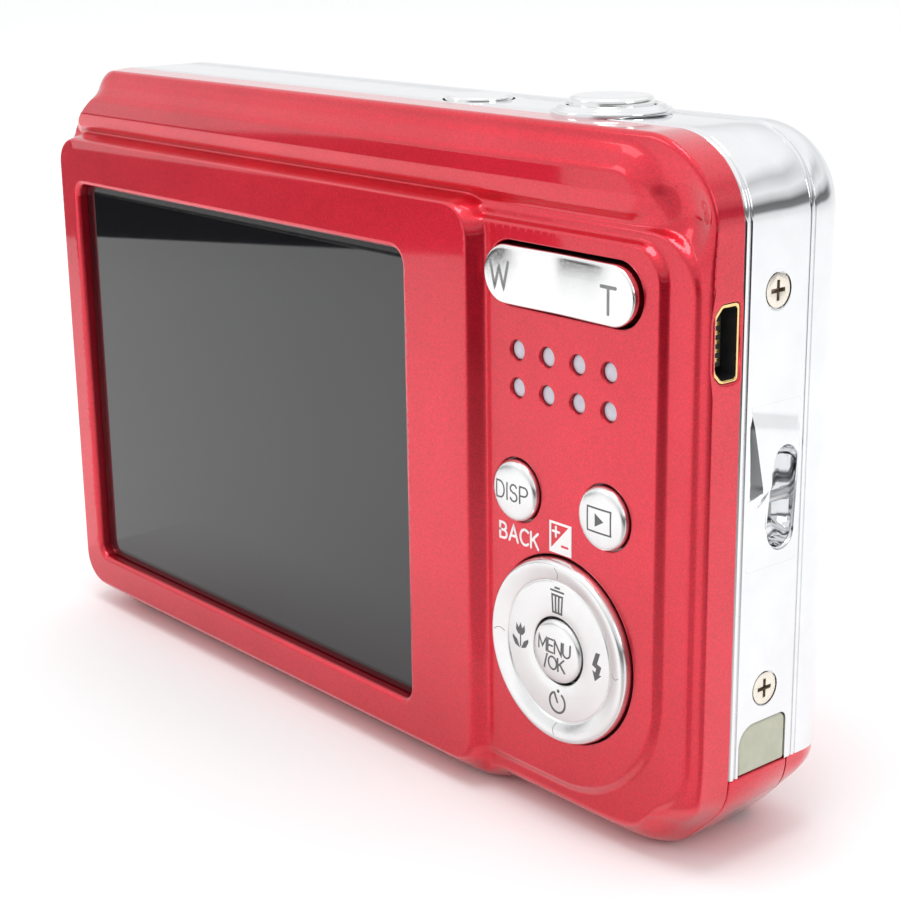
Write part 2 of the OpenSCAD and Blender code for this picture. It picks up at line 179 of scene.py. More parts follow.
def chrome(name="chrome_plate", tint=c4(0.85, 0.858, 0.870), tint2=c4(0.79, 0.798, 0.812), r=(0.035, 0.075)):
    m = Nodes(name)
    nz = m.noise(220.0, 4.0, 0.6)
    rp = m.ramp(nz.outputs["Fac"], [(0.3, tint2), (0.7, tint)])
    m.link(rp.outputs["Color"], m.b.inputs["Base Color"])
    n2 = m.noise(1500.0, 6.0, 0.65)
    m.rough(n2.outputs["Fac"], *r)
    m.set(Metallic=1.0)
    n3 = m.noise(90.0, 2.0, 0.5)
    m.bump(n3.outputs["Fac"], 0.05, 0.0004)
    return m.m


def satin(name, a, b, r_lo, r_hi, brush=None):
    m = Nodes(name)
    nz = m.noise(400.0, 3.0, 0.6, brush)
    rp = m.ramp(nz.outputs["Fac"], [(0.25, a), (0.75, b)])
    m.link(rp.outputs["Color"], m.b.inputs["Base Color"])
    n2 = m.noise(2500.0, 4.0, 0.6, brush)
    m.rough(n2.outputs["Fac"], r_lo, r_hi)
    m.set(Metallic=1.0)
    n3 = m.noise(6000.0, 2.0, 0.5, brush)
    m.bump(n3.outputs["Fac"], 0.06, 0.00002)
    return m.m


def rubber():
    m = Nodes("beige_rubber")
    nz = m.noise(500.0, 5.0, 0.65)
    rp = m.ramp(nz.outputs["Fac"], [(0.3, srgb("B9BAA6")), (0.7, srgb("C5C6B4"))])
    m.link(rp.outputs["Color"], m.b.inputs["Base Color"])
    n2 = m.noise(3000.0, 4.0, 0.6)
    m.rough(n2.outputs["Fac"], 0.42, 0.56)
    m.set(Specular_IOR_Level=0.4, Subsurface_Weight=0.0)
    n3 = m.noise(9000.0, 2.0, 0.6)
    m.bump(n3.outputs["Fac"], 0.25, 0.00002)
    return m.m


def glass_black():
    m = Nodes("screen_cover_glass")
    nz = m.noise(60.0, 2.0, 0.5)
    rp = m.ramp(nz.outputs["Fac"], [(0.3, c4(0.0070, 0.0072, 0.0085)), (0.7, c4(0.0090, 0.0092, 0.0108))])
    m.link(rp.outputs["Color"], m.b.inputs["Base Color"])
    n2 = m.noise(900.0, 5.0, 0.6)
    m.rough(n2.outputs["Fac"], 0.020, 0.035)
    m.set(Specular_IOR_Level=0.60, Coat_Weight=0.40, Coat_Roughness=0.02)
    return m.m


def clear(name, tint, rough=0.03, ior=1.49):
    m = Nodes(name)
    nz = m.noise(300.0, 3.0, 0.5)
    rp = m.ramp(nz.outputs["Fac"], [(0.3, tint), (0.7, tuple(min(1, v * 1.03) for v in tint[:3]) + (1,))])
    m.link(rp.outputs["Color"], m.b.inputs["Base Color"])
    m.rough(nz.outputs["Fac"], rough * 0.7, rough * 1.4)
    m.set(Transmission_Weight=0.96, IOR=ior)
    return m.m


def coated_lens():
    m = Nodes("coated_lens")
    nz = m.noise(45.0, 2.0, 0.5)
    rp = m.ramp(nz.outputs["Fac"], [(0.30, c4(0.010, 0.014, 0.035)), (0.50, c4(0.040, 0.020, 0.075)), (0.70, c4(0.018, 0.060, 0.050))])
    m.link(rp.outputs["Color"], m.b.inputs["Base Color"])
    n2 = m.noise(500.0, 3.0, 0.5)
    m.rough(n2.outputs["Fac"], 0.015, 0.03)
    m.set(Specular_IOR_Level=0.8, Coat_Weight=1.0, Coat_Roughness=0.02, Coat_Tint=c4(0.75, 0.7, 1.0))
    return m.m


def circuit():
    m = Nodes("circuit_board")
    vor = m.n("ShaderNodeTexVoronoi", Scale=900.0, distance="CHEBYCHEV")
    m.link(m.co.outputs["Object"], vor.inputs["Vector"])
    a = m.ramp(vor.outputs["Distance"], [(0.05, c4(0.45, 0.33, 0.10)), (0.12, c4(0.012, 0.12, 0.06)), (0.9, c4(0.02, 0.17, 0.09))])
    nz = m.noise(2500.0, 4.0, 0.6)
    mx = m.n("ShaderNodeMix", data_type="RGBA", blend_type="MULTIPLY")
    mx.inputs["Factor"].default_value = 0.5
    m.link(a.outputs["Color"], mx.inputs["A"])
    m.link(nz.outputs["Color"], mx.inputs["B"])
    m.link(mx.outputs["Result"], m.b.inputs["Base Color"])
    m.rough(nz.outputs["Fac"], 0.3, 0.45)
    m.bump(a.outputs["Color"], 0.2, 0.00004)
    return m.m


def wrapped(name, a, b, band):
    """A printed sleeve: two tones with a plain band and fine print-like grain."""
    m = Nodes(name)
    sep = m.n("ShaderNodeSeparateXYZ")
    m.link(m.co.outputs["Object"], sep.inputs["Vector"])
    rp = m.ramp(sep.outputs["Z"], [(0.0, a), (0.012, a), (0.0125, band), (0.0185, band), (0.019, a), (1.0, b)])
    nz = m.noise(2000.0, 4.0, 0.6)
    mx = m.n("ShaderNodeMix", data_type="RGBA", blend_type="OVERLAY")
    mx.inputs["Factor"].default_value = 0.15
    m.link(rp.outputs["Color"], mx.inputs["A"])
    m.link(nz.outputs["Color"], mx.inputs["B"])
    m.link(mx.outputs["Result"], m.b.inputs["Base Color"])
    m.rough(nz.outputs["Fac"], 0.28, 0.4)
    m.set(Coat_Weight=0.3, Coat_Roughness=0.15)
    return m.m


M_RED = red_paint()
M_CHROME = chrome()
M_STEEL = two_tone("sheet_steel", c4(0.50, 0.50, 0.51), c4(0.60, 0.60, 0.61), 1.0, 0.26, 0.42, 700, 0.12, 5000, stretch=(1, 1, 6))
M_PIN = two_tone("pin_steel", c4(0.60, 0.60, 0.61), c4(0.68, 0.68, 0.69), 1.0, 0.16, 0.26, 1500, 0.05, 5000, stretch=(1, 8, 1))
M_RUBBER = rubber()
M_BRASS = two_tone("brass_insert", c4(0.62, 0.43, 0.17), c4(0.72, 0.52, 0.22), 1.0, 0.18, 0.32, 1200, 0.08, 6000)
M_NICKEL = two_tone("nickel_screw", c4(0.80, 0.74, 0.64), c4(0.87, 0.82, 0.73), 1.0, 0.22, 0.33, 1800, 0.10, 7000)
# painted shade: a darker nickel colour for the cross recesses of the side screws
M_SCREW_RECESS_SHADE = two_tone("screw_recess_painted_shade", c4(0.32, 0.255, 0.19), c4(0.48, 0.40, 0.31), 0.8, 0.35, 0.5, 1800)
M_GLASS = glass_black()
M_BORDER = two_tone("screen_border_black", c4(0.0035, 0.0030, 0.0032), c4(0.006, 0.005, 0.0055), 0.0, 0.16, 0.24, 600, coat=0.3, spec=0.35)
M_SCREEN = two_tone("screen_panel", c4(0.010, 0.011, 0.013), c4(0.016, 0.017, 0.020), 0.0, 0.25, 0.35, 400)
M_KEY = satin("key_satin_silver", c4(0.80, 0.80, 0.80), c4(0.86, 0.86, 0.86), 0.20, 0.27)
M_KEYPOL = satin("key_polished_silver", c4(0.84, 0.84, 0.84), c4(0.89, 0.89, 0.89), 0.10, 0.15)
M_GREY = two_tone("grey_plastic", c4(0.075, 0.076, 0.08), c4(0.10, 0.10, 0.105), 0.0, 0.45, 0.6, 900, 0.3, 5000)
M_BOARD = circuit()
# black plastic parts; also painted shade on the inside of the data socket's shell
M_BLACK_AND_SOCKET_SHADE = two_tone("black_plastic", c4(0.012, 0.012, 0.013), c4(0.020, 0.020, 0.021), 0.0, 0.38, 0.55, 900, 0.35, 6000)
M_CHIP = two_tone("chip_black", c4(0.010, 0.010, 0.011), c4(0.022, 0.022, 0.024), 0.0, 0.5, 0.62, 3000, 0.25, 8000)
M_BARREL = two_tone("barrel_metal", c4(0.565, 0.57, 0.585), c4(0.60, 0.605, 0.62), 1.0, 0.20, 0.25, 1400, 0.10, 6000, stretch=(1, 0.15, 1))
M_BLADE = two_tone("blade_black", c4(0.02, 0.02, 0.021), c4(0.035, 0.035, 0.036), 0.6, 0.3, 0.42, 900, 0.1, 5000)
M_LENS = coated_lens()
M_SENSOR = two_tone("sensor_face", c4(0.03, 0.06, 0.10), c4(0.10, 0.05, 0.12), 0.4, 0.08, 0.18, 2500)
M_CLEAR = clear("clear_plastic", c4(0.96, 0.97, 0.99))
M_REFLECT = two_tone("reflector_foil", c4(0.86, 0.86, 0.87), c4(0.93, 0.93, 0.94), 1.0, 0.06, 0.14, 800, 0.1, 3000)
M_CAP = wrapped("capacitor_sleeve", c4(0.012, 0.012, 0.03), c4(0.016, 0.016, 0.04), c4(0.55, 0.55, 0.60))
M_AMBER = clear("amber_plastic", c4(0.95, 0.42, 0.10), 0.05)
M_MESH = two_tone("mesh_lavender_grey", srgb("C9C6D2"), srgb("D6D4DE"), 0.15, 0.42, 0.55, 2600, 0.35, 9000)
M_GOLD = two_tone("gold_plate", c4(0.90, 0.62, 0.24), c4(0.96, 0.72, 0.34), 1.0, 0.12, 0.22, 1500, 0.05, 5000)
M_BATT = wrapped("battery_wrap", c4(0.05, 0.055, 0.07), c4(0.07, 0.075, 0.09), c4(0.30, 0.33, 0.40))
M_CARD = wrapped("card_blue", c4(0.015, 0.04, 0.20), c4(0.02, 0.05, 0.24), c4(0.55, 0.58, 0.65))
M_INK = two_tone("legend_grey_ink", c4(0.090, 0.090, 0.094), c4(0.125, 0.125, 0.13), 0.0, 0.45, 0.55, 2500)
M_WHITE = two_tone("legend_white_ink", c4(0.90, 0.86, 0.86), c4(0.95, 0.92, 0.92), 0.0, 0.40, 0.50, 2500)
M_GAP = two_tone("seam_shadow", c4(0.010, 0.006, 0.006), c4(0.016, 0.010, 0.010), 0.0, 0.6, 0.75, 1500)


# ---------------------------------------------------------------- mesh helpers
def link(o):
    bpy.context.scene.collection.objects.link(o)
    return o


def piece(name, verts, faces, mat, body="root", repl=(), sharp=32.0, normals=None, mm=True, mats=None, face_mats=None):
    """Make a piece from points in the casing frame (mm), ride it on its body and replace its CAD node."""
    me = bpy.data.meshes.new(name)
    vv = [P(*v) for v in verts] if mm else verts
    me.from_pydata(vv, [], faces)
    me.validate()
    me.materials.append(mat)
    for extra in (mats or []):
        me.materials.append(extra)
    if face_mats is not None:
        me.polygons.foreach_set("material_index", np.array(face_mats, dtype=np.int32))
    me.polygons.foreach_set("use_smooth", np.ones(len(me.polygons), dtype=bool))
    me.update()
    if normals is not None:
        me.normals_split_custom_set_from_vertices([tuple(n) for n in normals])
    else:
        sharpen(me, sharp)
    o = link(bpy.data.objects.new(name, me))
    return own(o, body, repl)


def own(o, body, repl):
    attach(o, body)
    if repl:
        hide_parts(*([repl] if isinstance(repl, str) else repl))
    return o


def sharpen(me, deg):
    bm = bmesh.new()
    bm.from_mesh(me)
    lim = math.radians(deg)
    for e in bm.edges:
        e.smooth = not (len(e.link_faces) != 2 or e.calc_face_angle(0.0) > lim)
    bm.to_mesh(me)
    bm.free()


def apply_modifiers(o):
    bpy.context.view_layer.update()
    dg = bpy.context.evaluated_depsgraph_get()
    me = bpy.data.meshes.new_from_object(o.evaluated_get(dg))
    o.modifiers.clear()
    old = o.data
    o.data = me
    bpy.data.meshes.remove(old)
    return o


def from_cad(node, name, mat, body, bevel=0.15, segs=3, limit=28, sharp=32.0, also=()):
    """A refined copy of a CAD node: merged, its flats dissolved, its edges rounded over."""
    src = NODES[node]
    me = src.data.copy()
    me.name = name
    me.materials.clear()
    me.materials.append(mat)
    bm = bmesh.new()
    bm.from_mesh(me)
    bmesh.ops.remove_doubles(bm, verts=bm.verts, dist=2e-6)
    bmesh.ops.dissolve_limit(bm, angle_limit=math.radians(0.6), verts=bm.verts, edges=bm.edges)
    bmesh.ops.recalc_face_normals(bm, faces=bm.faces)
    if bevel:
        lim = math.radians(limit)
        es = [e for e in bm.edges if len(e.link_faces) == 2 and e.calc_face_angle(0.0) > lim]
        bmesh.ops.bevel(bm, geom=es, offset=bevel * 0.001, segments=segs, profile=0.5, affect="EDGES", clamp_overlap=True, harden_normals=False)
    for f in bm.faces:
        f.smooth = True
        f.material_index = 0
    bm.to_mesh(me)
    bm.free()
    sharpen(me, sharp)
    o = link(bpy.data.objects.new(name, me))
    return own(o, body, (node,) + tuple(also))


def finish_cad(node, mat):
    """A CAD node that stays: only its material changes."""
    me = NODES[node].data
    if not me.materials:
        me.materials.append(mat)
    for i in range(len(me.materials)):
        me.materials[i] = mat


def rings_to_mesh(rings, closed=True, loop_rows=False):
    """Stack equal-length rings of points into quads."""
    n = len(rings[0])
    verts = [tuple(p) for r in rings for p in r]
    faces = []
    rows = len(rings)
    rr = range(rows if loop_rows else rows - 1)
    cc = range(n if closed else n - 1)
    for i in rr:
        a, b = i * n, ((i + 1) % rows) * n
        for j in cc:
            k = (j + 1) % n
            faces.append((a + j, a + k, b + k, b + j))
    return verts, faces


def lathe(name, prof, cx, cz, mat, body="root", repl=(), segs=96, axis="y", cap_first=False, cap_last=False, cy=0.0, sharp=32.0, warp=None):
    """Revolve (r, h) pairs. axis y: about Y at (cx, cz); axis z: about Z at (cx, cy); axis x: about X at (cy, cz)."""
    rings = []
    for r, h in prof:
        ring = []
        for i in range(segs):
            a = 2 * math.pi * i / segs
            u, v = r * math.cos(a), r * math.sin(a)
            if axis == "y":
                p = (cx + u, h, cz + v)
            elif axis == "z":
                p = (cx + u, cy + v, h)
            else:
                p = (h, cy + u, cz + v)
            ring.append(warp(p) if warp else p)
        rings.append(ring)
    verts, faces = rings_to_mesh(rings)
    n = segs
    if cap_first:
        faces.append(tuple(range(n)))
    if cap_last:
        b = (len(prof) - 1) * n
        faces.append(tuple(range(b + n - 1, b - 1, -1)))
    o = piece(name, verts, faces, mat, body, repl, sharp)
    fix_normals(o)
    sharpen(o.data, sharp)
    return o


def fix_normals(o):
    bm = bmesh.new()
    bm.from_mesh(o.data)
    bmesh.ops.recalc_face_normals(bm, faces=bm.faces)
    bm.to_mesh(o.data)
    bm.free()


def arc(cx, cy, r, a0, a1, n=6, ry=None):
    """Points of an arc, degrees, as (r, h) pairs for a profile."""
    ry = r if ry is None else ry
    return [(cx + r * math.cos(math.radians(a0 + (a1 - a0) * i / n)), cy + ry * math.sin(math.radians(a0 + (a1 - a0) * i / n))) for i in range(n + 1)]


def outline_pts(d=0.0, x0=-HW, x1=HW, z0=0.0, z1=BH, r=CR, step=1.2, arcn=22):
    """Rounded rectangle, counter-clockwise seen from the back... as (x, z, nx, nz), set in by d."""
    pts = []
    rc = [(x1 - r, z0 + r, -90), (x1 - r, z1 - r, 0), (x0 + r, z1 - r, 90), (x0 + r, z0 + r, 180)]
    q = max(r - d, 0.02)
    for i, (cx, cz, a0) in enumerate(rc):
        for k in range(arcn + 1):
            a = math.radians(a0 + 90.0 * k / arcn)
            pts.append((cx + q * math.cos(a), cz + q * math.sin(a), math.cos(a), math.sin(a)))
        nx_, nz_, na = rc[(i + 1) % 4]
        a = math.radians(na)
        e = (nx_ + q * math.cos(a), nz_ + q * math.sin(a))
        s = pts[-1]
        L = math.hypot(e[0] - s[0], e[1] - s[1])
        m = max(1, int(round(L / step)))
        for k in range(1, m):
            t = k / m
            pts.append((s[0] + (e[0] - s[0]) * t, s[1] + (e[1] - s[1]) * t, math.cos(a), math.sin(a)))
    return pts


# ---------------------------------------------------------------- rear cover
def sd_rr(x, z, x0, z0, x1, z1, r):
    """Signed distance to a rounded rectangle, positive inside. r may be a number."""
    cx, cz = (x0 + x1) / 2, (z0 + z1) / 2
    qx = np.abs(x - cx) - ((x1 - x0) / 2 - r)
    qz = np.abs(z - cz) - ((z1 - z0) / 2 - r)
    out = np.hypot(np.maximum(qx, 0), np.maximum(qz, 0)) + np.minimum(np.maximum(qx, qz), 0) - r
    return -out


def sd_box4(x, z, x0, z0, x1, z1, r4):
    """As sd_rr with its own radius at each corner: (x0z0, x1z0, x1z1, x0z1)."""
    cx, cz = (x0 + x1) / 2, (z0 + z1) / 2
    r = np.where(z > cz, np.where(x > cx, r4[2], r4[3]), np.where(x > cx, r4[1], r4[0]))
    qx = np.abs(x - cx) - ((x1 - x0) / 2 - r)
    qz = np.abs(z - cz) - ((z1 - z0) / 2 - r)
    out = np.hypot(np.maximum(qx, 0), np.maximum(qz, 0)) + np.minimum(np.maximum(qx, qz), 0) - r
    return -out


def smooth01(t, a, b):
    """0 to 1 with a rounded foot over a and a rounded top over b."""
    t = np.clip(t, 0, 1)
    m = 1.0 / (1.0 - a / 2 - b / 2)
    lo = m * t * t / (2 * a)
    mid = m * (t - a / 2)
    hi = 1 - m * (1 - t) ** 2 / (2 * b)
    return np.where(t < a, lo, np.where(t > 1 - b, hi, mid))


def sstep(v, lo, hi):
    t = np.clip((v - lo) / (hi - lo), 0, 1)
    return t * t * (3 - 2 * t)


# every raised level: inner contour (top edge), outer contour (foot)
LCD_IN = (-21.15, 2.9, 45.15, 52.45, (2.6, 3.0, 2.6, 2.6))
LCD_OUT = (-22.35, 0.25, 46.19, 53.35, (3.4, 5.0, 3.6, 3.4))
BAND_IN = (-39.2, 53.9, 44.9, 56.6, (1.6, 1.2, 1.2, 2.4))
BAND_OUT = (-43.2, 52.7, 46.1, 59.45, (3.0, 2.0, 6.0, 6.3))
STRIP_IN = (-44.6, 1.0, 60.0, 52.25, (9.0, 3.0, 3.0, 4.2))
STRIP_OUT = (-45.5, -0.4, 61.0, 52.95, (9.8, 3.0, 3.0, 5.0))
KEY_IN = (-41.7, 4.55, 60.0, 51.25, (10.3, 3.0, 3.0, 2.6))
KEY_OUT = (-42.55, 3.3, 61.0, 51.95, (11.4, 3.0, 3.0, 3.4))


def ramp_of(x, z, inner, outer, a=0.4, b=0.35):
    di = sd_box4(x, z, *inner)
    do = sd_box4(x, z, *outer)
    t = np.where(di >= 0, 1.0, do / np.maximum(do - di, 1e-6))
    return smooth01(t, a, b)


def inner_height(x, z):
    """Height of the rear face before the rim is rounded over."""
    base = 8.85 + 0.0 * x
    # the ramp hollows a little between the rim and the band, most in the hand-side corner
    scoop = np.exp(-(((x + 43.3) / 2.5) ** 2 + ((z - 53.9) / 2.6) ** 2))
    base = base - 1.15 * scoop
    f = base
    f = f + (9.12 - f) * ramp_of(x, z, STRIP_IN, STRIP_OUT, 0.45, 0.4)
    lvl = 9.86 - 0.42 * np.clip((55.25 - z) / 1.75, 0, 1) ** 1.15
    f = f + (lvl - f) * ramp_of(x, z, BAND_IN, BAND_OUT, 0.5, 0.28)
    f = f + (9.8 - f) * ramp_of(x, z, KEY_IN, KEY_OUT, 0.4, 0.35)
    f = f + (11.25 - f) * ramp_of(x, z, LCD_IN, LCD_OUT, 0.35, 0.3)
    return f


def rim_radii(x, z):
    """How far the edge is rounded: inwards (rx) and in depth (ry), by place on the outline."""
    right = sstep(-x, 36.0, 42.0)
    low = 1 - sstep(z, 50.0, 55.5)
    rx = 0.55 + right * low * 1.15
    ry = 0.45 + right * low * 0.1
    bottom = (1 - sstep(z, 1.5, 8.0)) * sstep(-x, 18.0, 24.0)
    rx = rx + bottom * (2.6 - rx)
    ry = ry + bottom * (2.1 - ry)
    return rx, ry


HOLES_C = [(DPX, DPZ, 8.2), (-26.09, 29.09, 2.78), (-36.44, 29.13, 2.78)] + [(-26.03 - 3.53 * i, 41.07 - 3.19 * j, 0.84) for i in range(4) for j in range(2)]
LIP = 0.16
WIN = (-12.85, 5.95, 42.25, 47.85, 1.4)


def hole_sd(x, z):
    """Distance outside the nearest hole edge (negative in a hole), and the way to the hole's middle."""
    best = np.full(np.shape(x), 1e9)
    gx = np.zeros(np.shape(x)); gz = np.zeros(np.shape(x))
    for cx, cz, r in HOLES_C:
        dd = np.hypot(x - cx, z - cz)
        s = dd - r
        k = s < best
        best = np.where(k, s, best)
        gx = np.where(k, (cx - x) / np.maximum(dd, 1e-9), gx)
        gz = np.where(k, (cz - z) / np.maximum(dd, 1e-9), gz)
    qx = np.clip(x, -31.4 - 6.15, -31.4 + 6.15)
    dd = np.hypot(x - qx, z - 47.4)
    s = dd - 2.7
    k = s < best
    best = np.where(k, s, best)
    gx = np.where(k, (qx - x) / np.maximum(dd, 1e-9), gx)
    gz = np.where(k, (47.4 - z) / np.maximum(dd, 1e-9), gz)
    s = -sd_rr(x, z, *WIN)
    k = s < best
    h = 1e-3
    ax = (sd_rr(x + h, z, *WIN) - sd_rr(x - h, z, *WIN)) / (2 * h)
    az = (sd_rr(x, z + h, *WIN) - sd_rr(x, z - h, *WIN)) / (2 * h)
    best = np.where(k, s, best)
    gx = np.where(k, ax, gx)
    gz = np.where(k, az, gz)
    return best, gx, gz


def lip_radius(x, z):
    """The window's lip is rounder than the key holes' lips."""
    w = -sd_rr(x, z, *WIN)
    return np.where(w < 2.0, 0.55, LIP)


def rear_surface(x, z):
    """Height and normal of the finished rear face at points inside the outline."""
    x = np.asarray(x, float); z = np.asarray(z, float)
    H = inner_height(x, z)
    h = 0.01
    hx = (inner_height(x + h, z) - inner_height(x - h, z)) / (2 * h)
    hz = (inner_height(x, z + h) - inner_height(x, z - h)) / (2 * h)
    n = np.stack([-hx, np.ones_like(hx), -hz], -1)
    n /= np.linalg.norm(n, axis=-1, keepdims=True)
    y = H.copy()
    # rim
    d = sd_rr(x, z, -HW, 0, HW, BH, CR)
    rx, ry = rim_radii(x, z)
    u = np.clip(1 - d / rx, 0, 1)
    y = y - ry * (1 - np.sqrt(np.maximum(1 - u * u, 0)))
    g = 1e-3
    ox = -(sd_rr(x + g, z, -HW, 0, HW, BH, CR) - sd_rr(x - g, z, -HW, 0, HW, BH, CR)) / (2 * g)
    oz = -(sd_rr(x, z + g, -HW, 0, HW, BH, CR) - sd_rr(x, z - g, -HW, 0, HW, BH, CR)) / (2 * g)
    ol = np.maximum(np.hypot(ox, oz), 1e-6)
    s = u
    c = np.sqrt(np.maximum(1 - u * u, 0))
    k = (s / rx)[..., None] * np.stack([ox / ol, np.zeros_like(ox), oz / ol], -1) + (c / ry)[..., None] * n
    k /= np.maximum(np.linalg.norm(k, axis=-1, keepdims=True), 1e-9)
    n = np.where((u > 0)[..., None], k, n)
    # hole lips
    hd, gx, gz = hole_sd(x, z)
    lr = lip_radius(x, z)
    v = np.clip(1 - hd / lr, 0, 1)
    y = y - lr * (1 - np.sqrt(np.maximum(1 - v * v, 0)))
    w = np.sqrt(np.maximum(1 - v * v, 0))
    k = v[..., None] * np.stack([gx, np.zeros_like(gx), gz], -1) + w[..., None] * n
    k /= np.maximum(np.linalg.norm(k, axis=-1, keepdims=True), 1e-9)
    n = np.where((v > 0)[..., None], k, n)
    return y, n


def draft(p):
    """The moulding's taper: its underside rises towards the back and its far upper end is drawn in."""
    x, y, z = p[:, 0], p[:, 1], p[:, 2]
    wy = np.clip((y - 5.2) / 3.6, 0, 1) ** 1.2
    wx = sstep(-x, 20.5, 23.5)
    lift = (0.55 + 1.05 * wx) * wy * np.clip(1 - z / 3.1, 0, 1) ** 1.25
    pull = 4.4 * sstep(z, 52.7, 57.2) * wy * np.clip((x - 28.0) / 18.2, 0, 1) ** 1.6
    wc = np.clip((y - 5.2) / 3.4, 0, 1)
    cor = (0.85 + 0.85 * wc + 0.6 * np.clip((-1.8 - y) / 3.0, 0, 1)) * np.exp(-(((x + 44.15) / 4.0) ** 2 + ((z - 2.05) / 4.0) ** 2))
    return np.stack([x - pull + cor, y, z + lift + cor], 1)


def drafted(verts, norms):
    """Apply the taper and turn the normals with it."""
    p = np.array(verts, float)
    n = np.array(norms, float)
    h = 1e-3
    cols = []
    for k in range(3):
        e = np.zeros(3); e[k] = h
        cols.append((draft(p + e) - draft(p - e)) / (2 * h))
    J = np.stack(cols, -1)
    m = np.einsum("nji,nj->ni", np.linalg.inv(J), n)
    m /= np.maximum(np.linalg.norm(m, axis=1, keepdims=True), 1e-9)
    return [tuple(v) for v in draft(p)], [tuple(v) for v in m]


def resample(pts, step):
    """Even points along a closed loop."""
    p = np.array(pts + [pts[0]])
    L = np.concatenate([[0], np.cumsum(np.hypot(*np.diff(p, axis=0).T))])
    n = max(8, int(L[-1] / step))
    t = np.linspace(0, L[-1], n, endpoint=False)
    return np.stack([np.interp(t, L, p[:, 0]), np.interp(t, L, p[:, 1])], 1)


def contour(x0, z0, x1, z1, r4, step=0.6):
    """A rounded rectangle's loop of points with its own radius at each corner."""
    pts = []
    for cx, cz, r, a0 in ((x1 - r4[1], z0 + r4[1], r4[1], -90), (x1 - r4[2], z1 - r4[2], r4[2], 0), (x0 + r4[3], z1 - r4[3], r4[3], 90), (x0 + r4[0], z0 + r4[0], r4[0], 180)):
        for k in range(13):
            a = math.radians(a0 + 90 * k / 12)
            pts.append((cx + r * math.cos(a), cz + r * math.sin(a)))
    return resample(pts, step)


def blend_contours(inner, outer, t, step):
    """The loop a share t of the way from the foot to the top edge."""
    lerp = lambda a, b: a + (b - a) * t
    v = [lerp(outer[i], inner[i]) for i in range(4)]
    r = tuple(lerp(outer[4][i], inner[4][i]) for i in range(4))
    return contour(*v, r, step)


def ramp_share(x, z, inner, outer):
    di = sd_box4(np.array(float(x)), np.array(float(z)), *inner)
    do = sd_box4(np.array(float(x)), np.array(float(z)), *outer)
    return 1.0 if di >= 0 else float(do / max(do - di, 1e-6))


ABOVE = {id(LCD_OUT): (), id(KEY_OUT): ((LCD_IN, LCD_OUT),), id(BAND_OUT): ((LCD_IN, LCD_OUT), (KEY_IN, KEY_OUT)),
         id(STRIP_OUT): ((LCD_IN, LCD_OUT), (KEY_IN, KEY_OUT), (BAND_IN, BAND_OUT))}


def off_ramps(g):
    """Grid points that lie on a flat, away from every rounded row."""
    x, z = g[:, 0], g[:, 1]
    ok = np.ones(len(g), bool)
    for inner, outer in ((LCD_IN, LCD_OUT), (KEY_IN, KEY_OUT), (BAND_IN, BAND_OUT), (STRIP_IN, STRIP_OUT)):
        di = sd_box4(x, z, *inner)
        do = sd_box4(x, z, *outer)
        ok &= (di > 0.12) | (do < -0.12)
    ok &= sd_rr(x, z, -HW, 0, HW, BH, CR) > rim_radii(x, z)[0] + 0.1
    hd, _, _ = hole_sd(x, z)
    ok &= hd > lip_radius(x, z) + 0.12
    return g[ok]


